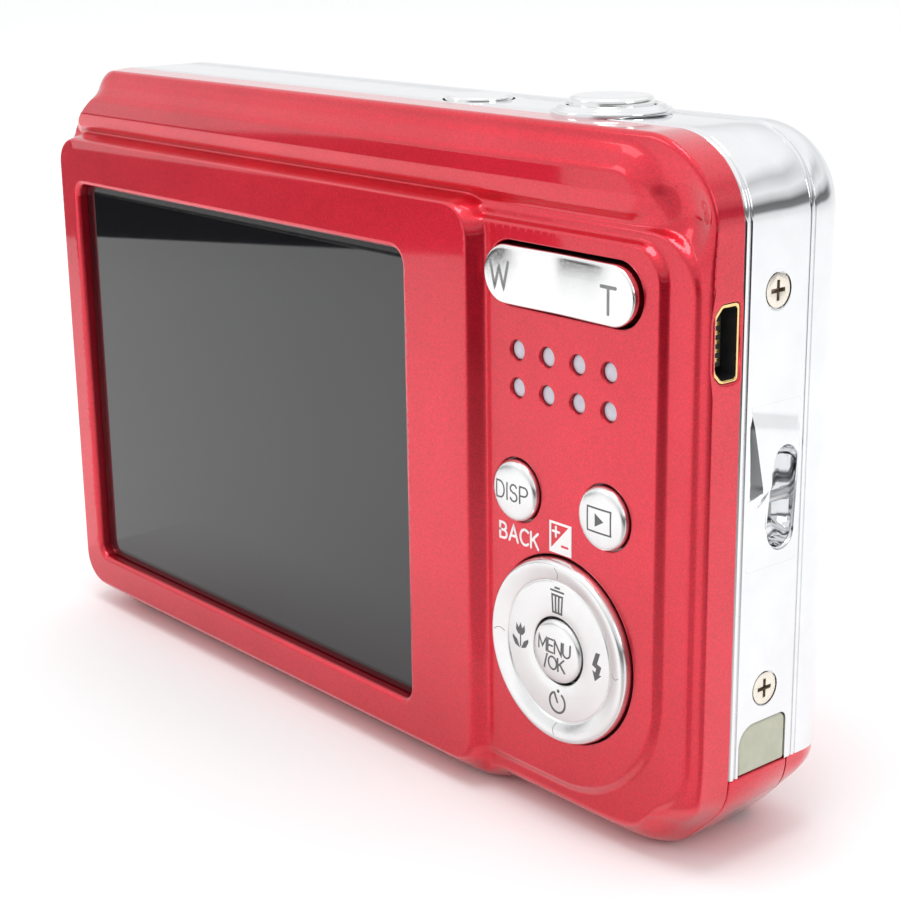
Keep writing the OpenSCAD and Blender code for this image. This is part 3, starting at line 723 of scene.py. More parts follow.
def build_rear_cover():
    pts, keep = [], []          # points in order of priority

    def add(a, force=False):
        for p in a:
            pts.append((float(p[0]), float(p[1])))
            keep.append(force)

    edges = []
    # outline ring at d = 0 and the rings of the rim rounding
    base = outline_pts(0.0, step=0.8, arcn=26)
    N = len(base)
    ring0 = [(p[0], p[1]) for p in base]
    add(ring0, True)
    edges += [(i, (i + 1) % N) for i in range(N)]
    for ang in (8, 17, 27, 38, 50, 63, 77, 90):
        s = 1 - math.cos(math.radians(ang))
        loop = []
        for p in base:
            rx, _ = rim_radii(np.array(p[0]), np.array(p[1]))
            dd = float(rx) * s
            # never past the corner's own centre
            loop.append((p[0] - p[2] * dd, p[1] - p[3] * dd))
        add(loop)
    hole_edges = []

    def hole_loop(fn, lr):
        start = len(pts)
        ring = fn(0.0)
        add(ring, True)
        n = len(ring)
        idx = list(range(start, start + n))
        edges.extend((idx[i], idx[(i + 1) % n]) for i in range(n))
        hole_edges.append(idx)
        for ang in (15, 32, 50, 70, 90):
            add(fn(lr * (1 - math.cos(math.radians(ang)))))

    def circ(cx, cz, r, n):
        return lambda d: [(cx + (r + d) * math.cos(2 * math.pi * i / n), cz + (r + d) * math.sin(2 * math.pi * i / n)) for i in range(n)]

    for cx, cz, r in HOLES_C:
        hole_loop(circ(cx, cz, r, 128 if r > 5 else (72 if r > 2 else 40)), LIP)

    def pill(d, n=30, m=26):
        r = 2.7 + d
        out = []
        for k in range(n + 1):
            a = math.radians(-90 + 180 * k / n)
            out.append((-31.4 + 6.15 + r * math.cos(a), 47.4 + r * math.sin(a)))
        for k in range(1, m):
            out.append((-31.4 + 6.15 - 12.3 * k / m, 47.4 + r))
        for k in range(n + 1):
            a = math.radians(90 + 180 * k / n)
            out.append((-31.4 - 6.15 + r * math.cos(a), 47.4 + r * math.sin(a)))
        for k in range(1, m):
            out.append((-31.4 - 6.15 + 12.3 * k / m, 47.4 - r))
        return out

    hole_loop(pill, LIP)

    def win(d):
        return [(p[0], p[1]) for p in outline_pts(-d, WIN[0], WIN[2], WIN[1], WIN[3], WIN[4], step=1.0, arcn=10)]

    hole_loop(win, 0.55)
    # rows along every ramp, close together where it is rounded
    for inner, outer, ts, step in ((LCD_IN, LCD_OUT, (0, 0.04, 0.08, 0.12, 0.17, 0.23, 0.30, 0.38, 0.46, 0.55, 0.64, 0.72, 0.78, 0.84, 0.89, 0.93, 0.97, 1.0), 0.30),
                                   (KEY_IN, KEY_OUT, (0, 0.06, 0.12, 0.19, 0.27, 0.36, 0.45, 0.54, 0.63, 0.72, 0.80, 0.87, 0.94, 1.0), 0.30),
                                   (BAND_IN, BAND_OUT, (0, 0.04, 0.08, 0.13, 0.19, 0.26, 0.34, 0.42, 0.5, 0.58, 0.66, 0.74, 0.80, 0.86, 0.91, 0.96, 1.0), 0.30),
                                   (STRIP_IN, STRIP_OUT, (0, 0.1, 0.2, 0.32, 0.45, 0.58, 0.7, 0.8, 0.9, 1.0), 0.35)):
        for t in ts:
            row = blend_contours(inner, outer, t, step)
            clear_of = ABOVE[id(outer)]
            add([p for p in row if all(ramp_share(p[0], p[1], a_, b_) <= 0.001 for a_, b_ in clear_of)])
    for zz in (55.6, 55.4, 55.25, 55.1, 54.9, 54.6):
        add([(x, zz) for x in np.arange(-40, 45, 0.5)])
    # a plain grid fills the rest
    gx, gz = np.meshgrid(np.arange(-46, 46.1, 0.9), np.arange(0.4, 59.6, 0.9))
    add(off_ramps(np.stack([gx.ravel() + 0.013, gz.ravel() + 0.007], 1)))
    fx, fz = np.meshgrid(np.arange(-46, -37, 0.35), np.arange(47.5, 59.6, 0.35))
    add(np.stack([fx.ravel() + 0.011, fz.ravel() + 0.017], 1)[sd_box4(fx.ravel(), fz.ravel(), *KEY_OUT) < -0.1])
    A = np.array(pts)
    K = np.array(keep)
    d = sd_rr(A[:, 0], A[:, 1], -HW, 0, HW, BH, CR)
    hd, _, _ = hole_sd(A[:, 0], A[:, 1])
    ok = K | ((d > 0.004) & (hd > 0.004))
    # thin out points that crowd each other
    cell = 0.10
    grid = {}
    remap = -np.ones(len(A), int)
    out = []
    order = np.concatenate([np.where(K)[0], np.where(~K & ok)[0]])
    near_rim = d < 3.0
    near_hole = hd < 0.4
    for i in order:
        x, z = A[i]
        c = (int(x // cell), int(z // cell))
        if not K[i]:
            lim = 0.004 if (hd[i] < 1.0 or d[i] < 0.8) else 0.035
            bad = False
            for a in (-1, 0, 1):
                for b in (-1, 0, 1):
                    for j in grid.get((c[0] + a, c[1] + b), ()):
                        q = out[j]
                        if (q[0] - x) ** 2 + (q[1] - z) ** 2 < lim * lim:
                            bad = True
                            break
                    if bad:
                        break
                if bad:
                    break
            if bad:
                continue
        remap[i] = len(out)
        grid.setdefault(c, []).append(len(out))
        out.append((x, z))
    E = [(int(remap[a]), int(remap[b])) for a, b in edges]
    res = delaunay_2d_cdt([Vector(p) for p in out], E, [], 0, 1e-7, True)
    V = np.array([(v.x, v.y) for v in res[0]])
    F = np.array([f for f in res[2] if len(f) == 3], int)
    cen = V[F].mean(1)
    okf = (sd_rr(cen[:, 0], cen[:, 1], -HW, 0, HW, BH, CR) > 0) & (hole_sd(cen[:, 0], cen[:, 1])[0] > 0)
    F = F[okf]
    # map every input point to its output point
    inv = {}
    for j, src in enumerate(res[3]):
        for s in src:
            inv[s] = j
    y, nrm = rear_surface(V[:, 0], V[:, 1])
    verts = [(V[i, 0], y[i], V[i, 1]) for i in range(len(V))]
    norms = [tuple(n) for n in nrm]
    # triangles face +Y
    a, b, c = V[F[:, 0]], V[F[:, 1]], V[F[:, 2]]
    area = (b[:, 0] - a[:, 0]) * (c[:, 1] - a[:, 1]) - (b[:, 1] - a[:, 1]) * (c[:, 0] - a[:, 0])
    faces = [tuple(f) if s < 0 else (f[0], f[2], f[1]) for f, s in zip(F.tolist(), area)]
    # side wall: rows down from the rim to the seam
    ringi = [inv[int(remap[i])] for i in range(N)]
    top_y = np.array([verts[i][1] for i in ringi])
    rows = [ringi]
    seam = 5.15

    def new_ring(fn, nfn):
        idx = []
        for j in range(N):
            idx.append(len(verts))
            verts.append(fn(j))
            norms.append(nfn(j))
        return idx

    # a copy of the top ring keeps the wall's own normals
    side_rows = [1.0, 0.75, 0.5, 0.25, 0.0]
    prev = new_ring(lambda j: (base[j][0], top_y[j], base[j][1]), lambda j: (base[j][2], 0, base[j][3]))
    top_copy = prev
    wall_rows = [prev]
    for s in side_rows[1:-1] + [0.03]:
        cur = new_ring(lambda j: (base[j][0], seam + 0.12 + (top_y[j] - seam - 0.12) * s, base[j][1]), lambda j: (base[j][2], 0, base[j][3]))
        wall_rows.append(cur)
        prev = cur
    edge = new_ring(lambda j: (base[j][0] - base[j][2] * 0.07, seam + 0.02, base[j][1] - base[j][3] * 0.07), lambda j: (base[j][2] * 0.5, -0.86, base[j][3] * 0.5))
    wall_rows.append(edge)
    inner_seam = new_ring(lambda j: (base[j][0] - base[j][2] * 1.25, seam + 0.02, base[j][1] - base[j][3] * 1.25), lambda j: (0, -1, 0))
    wall_rows.append(inner_seam)
    inner_top = new_ring(lambda j: (base[j][0] - base[j][2] * 1.25, 7.3, base[j][1] - base[j][3] * 1.25), lambda j: (-base[j][2], 0, -base[j][3]))
    wall_rows.append(inner_top)
    # quads of the wall, leaving out the patch that holds the socket opening
    patch = [j for j in range(N) if base[j][0] < -46.19 and 39.5 < base[j][1] < 49.5 and base[(j + 1) % N][0] < -46.19 and 39.5 < base[(j + 1) % N][1] < 49.5]
    pset = set(patch)
    for r in range(len(wall_rows) - 1):
        for j in range(N):
            if j in pset and (r < 4 or r == len(wall_rows) - 2):
                continue
            k = (j + 1) % N
            A0, A1, B0, B1 = wall_rows[r][j], wall_rows[r][k], wall_rows[r + 1][j], wall_rows[r + 1][k]
            faces.append((A0, A1, B1, B0))
    # the patch, in (z, y), with a D shaped hole and a rounded lip
    cols = patch + [(patch[-1] + 1) % N]
    bnd = [wall_rows[0][j] for j in cols] + [wall_rows[r][cols[-1]] for r in (1, 2, 3)] + [wall_rows[4][j] for j in reversed(cols)] + [wall_rows[r][cols[0]] for r in (3, 2, 1)]
    p2 = [Vector((verts[i][2], verts[i][1])) for i in bnd]
    e2 = [(i, (i + 1) % len(bnd)) for i in range(len(bnd))]
    D = dport(0.0, 6)
    Dl = [dport(o, 6) for o in (0.03, 0.08, 0.14, 0.3)]
    h0 = len(p2)
    p2 += [Vector((q[1], q[0])) for q in D]
    e2 += [(h0 + i, h0 + (i + 1) % len(D)) for i in range(len(D))]
    lip_of = {}
    for i in range(len(D)):
        lip_of[h0 + i] = 0
    for li, L in enumerate(Dl):
        for q in L:
            lip_of[len(p2)] = li + 1
            p2.append(Vector((q[1], q[0])))
    r2 = delaunay_2d_cdt(p2, e2, [], 0, 1e-7, True)
    vmap = {}
    DP = np.array([(q[1], q[0]) for q in D])
    for j, v in enumerate(r2[0]):
        src = r2[3][j]
        b_ = [s for s in src if s < len(bnd)]
        if b_:
            vmap[j] = bnd[b_[0]]
        else:
            k_ = lip_of.get(src[0], 4) if src else 4
            drop = (0.12, 0.055, 0.02, 0.0, 0.0)[k_]
            lean = (0.95, 0.7, 0.35, 0.0, 0.0)[k_]
            zc, yc = 44.5, 7.0
            gz, gy = zc - v.x, yc - v.y
            gl = math.hypot(gz, gy)
            vmap[j] = len(verts)
            verts.append((-HW + drop, v.y, v.x))
            nn = Vector((-1.0, lean * gy / gl, lean * gz / gl)).normalized()
            norms.append(tuple(nn))
    def inside(poly, x, y):
        c_ = False
        n_ = len(poly)
        for i in range(n_):
            x1, y1 = poly[i]; x2, y2 = poly[(i + 1) % n_]
            if (y1 > y) != (y2 > y) and x < (x2 - x1) * (y - y1) / (y2 - y1) + x1:
                c_ = not c_
        return c_
    for f in r2[2]:
        if len(f) != 3:
            continue
        cz = sum(r2[0][i].x for i in f) / 3; cy = sum(r2[0][i].y for i in f) / 3
        if inside(DP.tolist(), cz, cy):
            continue
        if not (39.0 < cz < 50.0 and cy > seam):
            continue
        q = [vmap[i] for i in f]
        if len(set(q)) < 3:
            continue
        a_, b_, c_ = (Vector(verts[i]) for i in q)
        n_ = (b_ - a_).cross(c_ - a_)
        faces.append(tuple(q) if n_.x < 0 else (q[0], q[2], q[1]))
    # the opening's own wall
    r_a = []
    for q in D:
        gz, gy = 44.5 - q[1], 7.0 - q[0]
        gl = math.hypot(gz, gy)
        r_a.append(len(verts)); verts.append((-HW + 0.12, q[0], q[1])); norms.append((0, gy / gl, gz / gl))
    r_b = []
    for q in D:
        gz, gy = 44.5 - q[1], 7.0 - q[0]
        gl = math.hypot(gz, gy)
        r_b.append(len(verts)); verts.append((-HW + 1.25, q[0], q[1])); norms.append((0, gy / gl, gz / gl))
    n = len(D)
    for i in range(n):
        k = (i + 1) % n
        faces.append((r_a[i], r_b[i], r_b[k], r_a[k]))
    # inner face: the same triangles set in by the wall, where they lie inside it
    dV = sd_rr(V[:, 0], V[:, 1], -HW, 0, HW, BH, CR)
    # key hole walls and window walls
    for idx in hole_edges:
        loop = [inv[int(remap[i])] for i in idx]
        hx = [V[i, 0] for i in loop]; hz = [V[i, 1] for i in loop]
        _, gx_, gz_ = hole_sd(np.array(hx), np.array(hz))
        ya = [verts[i][1] for i in loop]
        big = max(hx) - min(hx) > 40
        low = 9.0 if big else 8.35
        ra, rb = [], []
        for q in range(len(loop)):
            ra.append(len(verts)); verts.append((hx[q], ya[q], hz[q])); norms.append((gx_[q], 0, gz_[q]))
        for q in range(len(loop)):
            rb.append(len(verts)); verts.append((hx[q], low, hz[q])); norms.append((gx_[q], 0, gz_[q]))
        m_ = len(loop)
        for q in range(m_):
            k = (q + 1) % m_
            a_, b_, c_ = Vector(verts[ra[q]]), Vector(verts[rb[q]]), Vector(verts[ra[k]])
            n_ = (b_ - a_).cross(c_ - a_)
            good = n_.x * gx_[q] + n_.z * gz_[q] > 0
            faces.append((ra[q], rb[q], rb[k], ra[k]) if good else (ra[q], ra[k], rb[k], rb[q]))
    # inner skin
    cen_ = V[F].mean(1)
    # the skin stops round the socket, which fills that space
    sel = (dV[F].min(1) > 1.25) & ~((cen_[:, 0] < -39.4) & (np.abs(cen_[:, 1] - 44.5) < 3.45))
    Fi = F[sel]
    used = np.unique(Fi)
    im = {}
    yi = np.minimum(y - 1.15, 9.9)
    for i in used:
        im[int(i)] = len(verts)
        verts.append((V[i, 0], float(yi[i]), V[i, 1]))
        norms.append((0, -1, 0))
    for f, s in zip(Fi.tolist(), area[sel]):
        t = (im[f[0]], im[f[1]], im[f[2]])
        faces.append((t[0], t[2], t[1]) if s < 0 else t)
    verts, norms = drafted(verts, norms)
    return piece("rear_cover_shell", verts, faces, M_RED, "root", "rear_cover", normals=norms)


def dport(d, k=1):
    """The socket's D shape, (y, z), grown by d, with each corner rounded over k steps."""
    c = [(5.5 - d, 41.4 - d), (7.5 + d * 0.4, 41.4 - d), (8.45 + d, 42.35 - d * 0.5), (8.45 + d, 46.65 + d * 0.5), (7.5 + d * 0.4, 47.6 + d), (5.5 - d, 47.6 + d)]
    rr_ = (0.45, 0.35, 0.45, 0.45, 0.35, 0.45)
    out = []
    n = len(c)
    for i in range(n):
        p = Vector(c[i]); a = Vector(c[i - 1]) - p; b = Vector(c[(i + 1) % n]) - p
        r = min(rr_[i] + d * 0.5, a.length * 0.45, b.length * 0.45)
        s, t = p + a.normalized() * r, p + b.normalized() * r
        for q in range(k + 1):
            u = q / k
            w = s * (1 - u) ** 2 + p * 2 * u * (1 - u) + t * u * u
            out.append((w.x, w.y))
        e = Vector(c[(i + 1) % n]) + (p - Vector(c[(i + 1) % n])).normalized() * r
        m = max(1, int((e - t).length / 0.4))
        for q in range(1, m):
            w = t + (e - t) * q / m
            out.append((w.x, w.y))
    return out


M_INK_SOFT = two_tone("engraved_grey", c4(0.20, 0.20, 0.205), c4(0.27, 0.27, 0.275), 0.3, 0.35, 0.45, 2500)


# ---------------------------------------------------------------- sweeps along the casing
def casing_path(z_from=8.0, top=True, arcn=28, step=3.0):
    """Points of the casing outline with their outward normals: over the top, or under the bottom, ending at z_from on both sides."""
    full = outline_pts(0.0, arcn=arcn, step=step)
    if top:
        pts = [p for p in full if p[1] > z_from + 1e-6]
        # keep the order: up the +X side, over, down the -X side
        i = max(range(len(pts)), key=lambda k: (pts[k][0] > HW - 1e-6, -pts[k][1]))
        pts = pts[i:] + pts[:i]
        return [(HW, z_from, 1.0, 0.0)] + pts + [(-HW, z_from, -1.0, 0.0)]
    pts = [p for p in full if p[1] < z_from - 1e-6]
    i = max(range(len(pts)), key=lambda k: (pts[k][0] < -HW + 1e-6, pts[k][1]))
    pts = pts[i:] + pts[:i]
    return [(-HW, z_from, -1.0, 0.0)] + pts + [(HW, z_from, 1.0, 0.0)]


def sweep(name, path, prof, mat, body="root", repl=(), sharp=30.0):
    """Sweep a closed profile of (inset, y) along a path, with flat end caps."""
    rings = [[(px - nx * d, y, pz - nz * d) for d, y in prof] for px, pz, nx, nz in path]
    verts, faces = rings_to_mesh(rings)
    n = len(prof)
    faces.append(tuple(range(n)))
    b = (len(rings) - 1) * n
    faces.append(tuple(range(b + n - 1, b - 1, -1)))
    o = piece(name, verts, faces, mat, body, repl, sharp)
    fix_normals(o)
    sharpen(o.data, sharp)
    return o


def cutter(verts, faces):
    me = bpy.data.meshes.new("cutter")
    me.from_pydata([P(*v) for v in verts], [], faces)
    o = link(bpy.data.objects.new("cutter", me))
    fix_normals(o)
    return o


def prism(loop, a, b, axis):
    """A closed prism: loop of 2-D points between a and b along an axis. x: loop is (y, z); y: (x, z); z: (x, y)."""
    def at(p, h):
        return {"x": (h, p[0], p[1]), "y": (p[0], h, p[1]), "z": (p[0], p[1], h)}[axis]
    verts, faces = rings_to_mesh([[at(p, a) for p in loop], [at(p, b) for p in loop]])
    n = len(loop)
    faces.append(tuple(range(n)))
    faces.append(tuple(range(2 * n - 1, n - 1, -1)))
    return verts, faces


def circle(cx, cy, r, n=48):
    return [(cx + r * math.cos(2 * math.pi * i / n), cy + r * math.sin(2 * math.pi * i / n)) for i in range(n)]


def rrect(x0, y0, x1, y1, r4, k=8):
    """Rounded rectangle with radii at (x0y0, x1y0, x1y1, x0y1)."""
    if not hasattr(r4, "__len__"):
        r4 = (r4,) * 4
    out = []
    for cx, cy, r, a0 in ((x1 - r4[1], y0 + r4[1], r4[1], -90), (x1 - r4[2], y1 - r4[2], r4[2], 0), (x0 + r4[3], y1 - r4[3], r4[3], 90), (x0 + r4[0], y0 + r4[0], r4[0], 180)):
        for i in range(k + 1):
            a = math.radians(a0 + 90 * i / k)
            out.append((cx + r * math.cos(a), cy + r * math.sin(a)))
    return out


def cut(o, cutters, op="DIFFERENCE", sharp=30.0):
    """Boolean with exact arithmetic, one cutter after another."""
    for c in cutters:
        m = o.modifiers.new("b", "BOOLEAN")
        m.operation = op
        m.solver = "EXACT"
        m.object = c
        apply_modifiers(o)
        me = c.data
        bpy.data.objects.remove(c)
        bpy.data.meshes.remove(me)
    o.data.polygons.foreach_set("use_smooth", np.ones(len(o.data.polygons), dtype=bool))
    sharpen(o.data, sharp)
    return o


def pillow(name, loop_fn, depths, mat, body, repl, place, back=None, sharp=32.0):
    """A plate with a rounded-over face: loop_fn(inset) gives a loop, depths is a list of (inset, height); place(p, h) puts it in space.
    back is the height of its flat back."""
    rings = []
    if back is not None:
        rings.append([place(p, back) for p in loop_fn(depths[0][0])])
    for d, h in depths:
        rings.append([place(p, h(p) if callable(h) else h) for p in loop_fn(d)])
    verts, faces = rings_to_mesh(rings)
    n = len(rings[0])
    faces.append(tuple(range(n)))
    b = (len(rings) - 1) * n
    faces.append(tuple(range(b + n - 1, b - 1, -1)))
    o = piece(name, verts, faces, mat, body, repl, sharp)
    fix_normals(o)
    sharpen(o.data, sharp)
    return o


def fillet(r, h, n=6, top=True):
    """(inset, drop) pairs of a quarter round of radius r at height h."""
    return [(r * (1 - math.cos(math.radians(90 * i / n))), h - r * (1 - math.sin(math.radians(90 * i / n)))) for i in range(n + 1)]


# ---------------------------------------------------------------- chrome band and trim
def build_frame():
    prof = [(0.30, 5.12), (0.16, 5.12), (0.07, 5.06), (0.02, 4.96), (0.0, 4.84), (0.02, 4.72), (0.07, 4.62), (0.15, 4.56), (0.21, 4.53), (0.21, 4.48), (0.15, 4.45),
            (0.08, 4.40), (0.04, 4.32), (0.03, 4.22), (0.03, 2.0), (0.03, 0.0), (0.03, -2.18), (0.05, -2.27), (0.12, -2.31), (0.16, -2.34), (0.16, -2.39), (0.11, -2.42), (0.04, -2.46), (0.02, -2.54),
            (0.02, -2.72), (0.05, -2.82), (0.12, -2.87), (0.20, -2.88), (1.25, -2.88), (1.25, 5.12)]
    o = sweep("center_frame_band", casing_path(8.04), prof, M_CHROME, "root", "center_frame")
    cs = []
    for z in (15.1, 47.8):
        for s in (-1, 1):
            cs.append(cutter(*prism(circle(1.2, z, 1.5), s * (HW - 0.45), s * 60, "x")))
            cs.append(cutter(*prism(circle(1.2, z, 0.9), s * 40, s * 60, "x")))
    cs.append(cutter(*prism(rrect(-1.985, 25.535, 4.065, 38.965, (0.46, 0.46, 0.46, 0.46), 5), -60, -40, "x")))
    cs.append(cutter(*prism(rrect(-1.58, 2.0, 4.18, 12.38, (0.2, 0.2, 1.75, 0.75), 8), -60, -40, "x")))
    cs.append(cutter(*prism(circle(-28.1, 1.2, 3.72, 72), 50, 70, "z")))
    cs.append(cutter(*prism(circle(-12, 1.4, 3.2, 72), 50, 70, "z")))
    cut(o, cs)
    # a fine lip round each counterbore
    for z in (15.1, 47.8):
        for s in (-1, 1):
            x = s * HW
            lathe("screw_seat_%s_%d" % ("a" if s < 0 else "b", int(z)), [(1.50, x - s * 0.44), (1.50, x - s * 0.10), (1.52, x - s * 0.055), (1.57, x - s * 0.025), (1.63, x - s * 0.022), (1.69, x - s * 0.035), (1.69, x - s * 0.2), (1.62, x - s * 0.44)],
                  0, z, M_CHROME, axis="x", cy=1.2, segs=64, sharp=50)
    prof = [(0.20, -2.92), (0.12, -2.93), (0.05, -2.97), (0.02, -3.06), (0.02, -3.5), (0.02, -3.9)]
    prof += [(0.02 + 3.90 * (1 - math.cos(math.radians(a))), -3.9 - 4.13 * math.sin(math.radians(a))) for a in (6, 12, 18, 24, 30, 36, 42, 48, 54, 60, 66, 72, 78, 84, 90)]
    prof += [(4.02, -8.03), (4.06, -7.98), (4.06, -7.35), (2.6, -7.05), (1.3, -6.0), (1.3, -2.92)]
    sweep("front_trim_band", casing_path(8.04), prof, M_CHROME, "root", "front_trim")


# ---------------------------------------------------------------- front cover and door
def build_front():
    path = casing_path(7.96, top=False)
    prof = [(0.06, 5.12), (0.02, 5.08), (0.0, 5.0), (0.0, 2.0), (0.0, -2.0), (0.0, -3.9)]
    prof += [(3.95 * (1 - math.cos(math.radians(a))), -3.9 - 4.28 * math.sin(math.radians(a))) for a in (6, 12, 18, 24, 30, 36, 42, 48, 54, 60, 66, 72, 78, 84, 89)]
    prof += [(4.6, -8.19), (4.6, -7.1), (2.6, -7.05), (1.3, -5.9), (1.3, 5.12)]
    skirt = sweep("front_cover_shell", path, prof, M_RED, "root", "front_cover", sharp=30)
    plate_loop = lambda d: [(p[0], p[1]) for p in outline_pts(4.10 + d, step=4.0, arcn=16)]
    depths = [(0.0, -7.9), (0.02, -8.03), (0.08, -8.13), (0.18, -8.2), (0.34, -8.24), (0.6, -8.25)]
    plate = pillow("front_plate_tmp", plate_loop, depths, M_RED, "root", (), lambda p, h: (p[0], h, p[1]), back=-7.06)
    floor_v, floor_f = prism(rrect(-42.4, 1.32, -38.3, 2.28, 0.12, 3), -4.98, -2.0, "y")
    fl = cutter(floor_v, floor_f)
    cut(skirt, [plate, fl], "UNION")
    cs = [cutter(*prism(rrect(-60, -1, -9.08, 20, 0.05, 2), -2.0, 8, "y")),
          cutter(*prism(rrect(-38.2, -1, -9.08, 3, 0.05, 2), -4.3, 8, "y")),
          cutter(*prism(rrect(-41.6, -1, -38.1, 1.28, 0.25, 4), -4.3, -1.9, "y")),
          cutter(*prism(circle(LX, LZ, 14.5, 120), -12, 0, "y")),
          cutter(*prism(circle(20, -1.5, 4.66, 64), -1, 3, "z")),
          cutter(*prism(rrect(31.42, 47.62, 42.58, 53.38, 1.15, 8), -12, 0, "y")),
          cutter(*prism(circle(-9, 51, 1.9, 40), -12, 0, "y"))]
    cs += [cutter(*prism(circle(-20 - 1.5 * i, 51, 0.4, 20), -12, 0, "y")) for i in range(3)]
    cut(skirt, cs)
    door = from_cad("battery_door", "battery_door_shell", M_RED, "battery_door", 0.13, 3)
    for o in (skirt, door):
        me = o.data
        co = np.empty(len(me.vertices) * 3)
        me.vertices.foreach_get("co", co)
        q = co.reshape(-1, 3) * 1000 - (XS, 0, 0)
        low = np.array(q)
        low[:, 1] = np.minimum(low[:, 1], 5.19)
        d_ = draft(low) - low
        me.vertices.foreach_set("co", ((q + d_ + (XS, 0, 0)) * 0.001).ravel())
        me.update()


# ---------------------------------------------------------------- strap lug, rubber cover, screws, socket
def build_side():
    # the lug: a plate whose face swells into a hood over the upper half of its slot
    def hood(y, z):
        zc = z + 0.23 * (4.02 - y)
        up = np.clip((38.85 - zc) / 6.0, 0, 1)
        crease = 0.27 * np.clip((38.85 - zc) / 1.45, 0, 1)
        edge = 32.6 - 0.9 * np.clip((np.abs(y - 0.6) - 1.4) / 1.5, 0, 1)
        low = sstep(z, edge - 1.7, edge + 0.1)
        wide = 0.10 + 0.95 * up
        side = np.clip((4.02 - y) / wide, 0, 1) * sstep(y + 1.95, 0.0, 0.30 + 0.35 * up)
        return (crease + 0.36 * np.clip((37.4 - zc) / 4.8, 0, 1)) * low * side
    slot = rrect(-1.55, 26.9, 1.35, 35.3, 1.44, 12)
    ycell, zcell = [], []
    pts = [Vector((p[1], p[0])) for p in rrect(-1.99, 25.53, 4.07, 38.97, 0.46, 5)]
    nb = len(pts)
    E = [(i, (i + 1) % nb) for i in range(nb)]
    def sl(d):
        return [Vector((p[1], p[0])) for p in rrect(-1.55 - d, 26.9 - d, 1.35 + d, 35.3 + d, 1.44 + d, 12)]
    s0 = len(pts)
    ring = sl(0.0)
    pts += ring
    ns = len(ring)
    E += [(s0 + i, s0 + (i + 1) % ns) for i in range(ns)]
    for d in (0.03, 0.09, 0.18, 0.30, 0.36):
        pts += sl(d)
    # the crisp line where the hood's side face meets its top face
    zl = np.arange(31.0, 38.7, 0.12)
    yl = 4.02 - 0.10 - 0.95 * np.clip((38.827 - zl) / 6.2185, 0, 1)
    e0 = len(pts)
    pts += [Vector((float(a), float(b))) for a, b in zip(zl, yl)]
    E += [(e0 + i, e0 + i + 1) for i in range(len(zl) - 1)]
    zz, yy = np.meshgrid(np.arange(25.7, 38.95, 0.16), np.arange(-1.9, 4.05, 0.14))
    for z, y in zip(zz.ravel(), yy.ravel()):
        if np.min(np.hypot(zl - z, yl - y)) < 0.075:
            continue
        if -sd_rr(np.array(y), np.array(z), -1.55, 26.9, 1.35, 35.3, 1.44) > 0.42:
            pts.append(Vector((z + 0.003, y + 0.002)))
    res = delaunay_2d_cdt(pts, E, [], 0, 1e-7, True)
    verts, faces = [], []
    def front(z, y):
        d = float(-sd_rr(np.array(y), np.array(z), -1.55, 26.9, 1.35, 35.3, 1.44))
        r = 0.32
        u = min(max(1 - d / r, 0), 1)
        b = float(sd_rr(np.array(y), np.array(z), -1.99, 25.53, 4.07, 38.97, 0.46))
        e = min(max(1 - b / 0.12, 0), 1)
        return -HW + 0.03 - float(hood(y, z)) + r * (1 - math.sqrt(1 - u * u))
    for v in res[0]:
        verts.append((front(v.x, v.y), v.y, v.x))
    for f in res[2]:
        if len(f) != 3:
            continue
        cz = sum(res[0][i].x for i in f) / 3; cy = sum(res[0][i].y for i in f) / 3
        if float(sd_rr(np.array(cy), np.array(cz), -1.55, 26.9, 1.35, 35.3, 1.44)) > 0 or float(sd_rr(np.array(cy), np.array(cz), -1.99, 25.53, 4.07, 38.97, 0.46)) < 0:
            continue
        a, b, c = (Vector(verts[i]) for i in f)
        nrm = (b - a).cross(c - a)
        faces.append(tuple(f) if nrm.x < 0 else (f[0], f[2], f[1]))
    inv = {}
    for j, src in enumerate(res[3]):
        for s in src:
            inv[s] = j
    # slot walls curve down into a trough
    prev = [inv[s0 + i] for i in range(ns)]
    cy0, cz0 = -0.1, 31.1
    for depth, shrink in ((0.8, 0.0), (1.5, 0.06), (1.95, 0.16), (2.25, 0.32), (2.34, 0.5)):
        cur = []
        for i in range(ns):
            q = ring[i]
            y = q.y + (cy0 - q.y) * shrink
            z = q.x + (cz0 - q.x) * shrink * 0.55
            cur.append(len(verts))
            verts.append((-HW + depth, y, z))
        for i in range(ns):
            k = (i + 1) % ns
            faces.append((prev[i], prev[k], cur[k], cur[i]))
        prev = cur
    faces.append(tuple(prev))
    # outer rim back to the plate's rear
    back = []
    for i in range(nb):
        p = pts[i]
        back.append(len(verts))
        verts.append((-HW + 2.4, p.y, p.x))
    fr = [inv[i] for i in range(nb)]
    for i in range(nb):
        k = (i + 1) % nb
        faces.append((fr[i], fr[k], back[k], back[i]))
    faces.append(tuple(back))
    o = piece("strap_lug_hood", verts, faces, M_CHROME, "root", "strap_lug", 40)
    fix_normals(o)
    sharpen(o.data, 40)
    # the hood's side crease is crisp all the way down
    on = []
    for v in o.data.vertices:
        y_, z_ = v.co.y * 1000, v.co.z * 1000
        k_ = 4.02 - 0.10 - 0.95 * min(max((38.827 - z_) / 6.2185, 0), 1)
        on.append(30.9 < z_ < 38.8 and abs(y_ - k_) < 0.004)
    for e_ in o.data.edges:
        if on[e_.vertices[0]] and on[e_.vertices[1]]:
            e_.use_edge_sharp = True
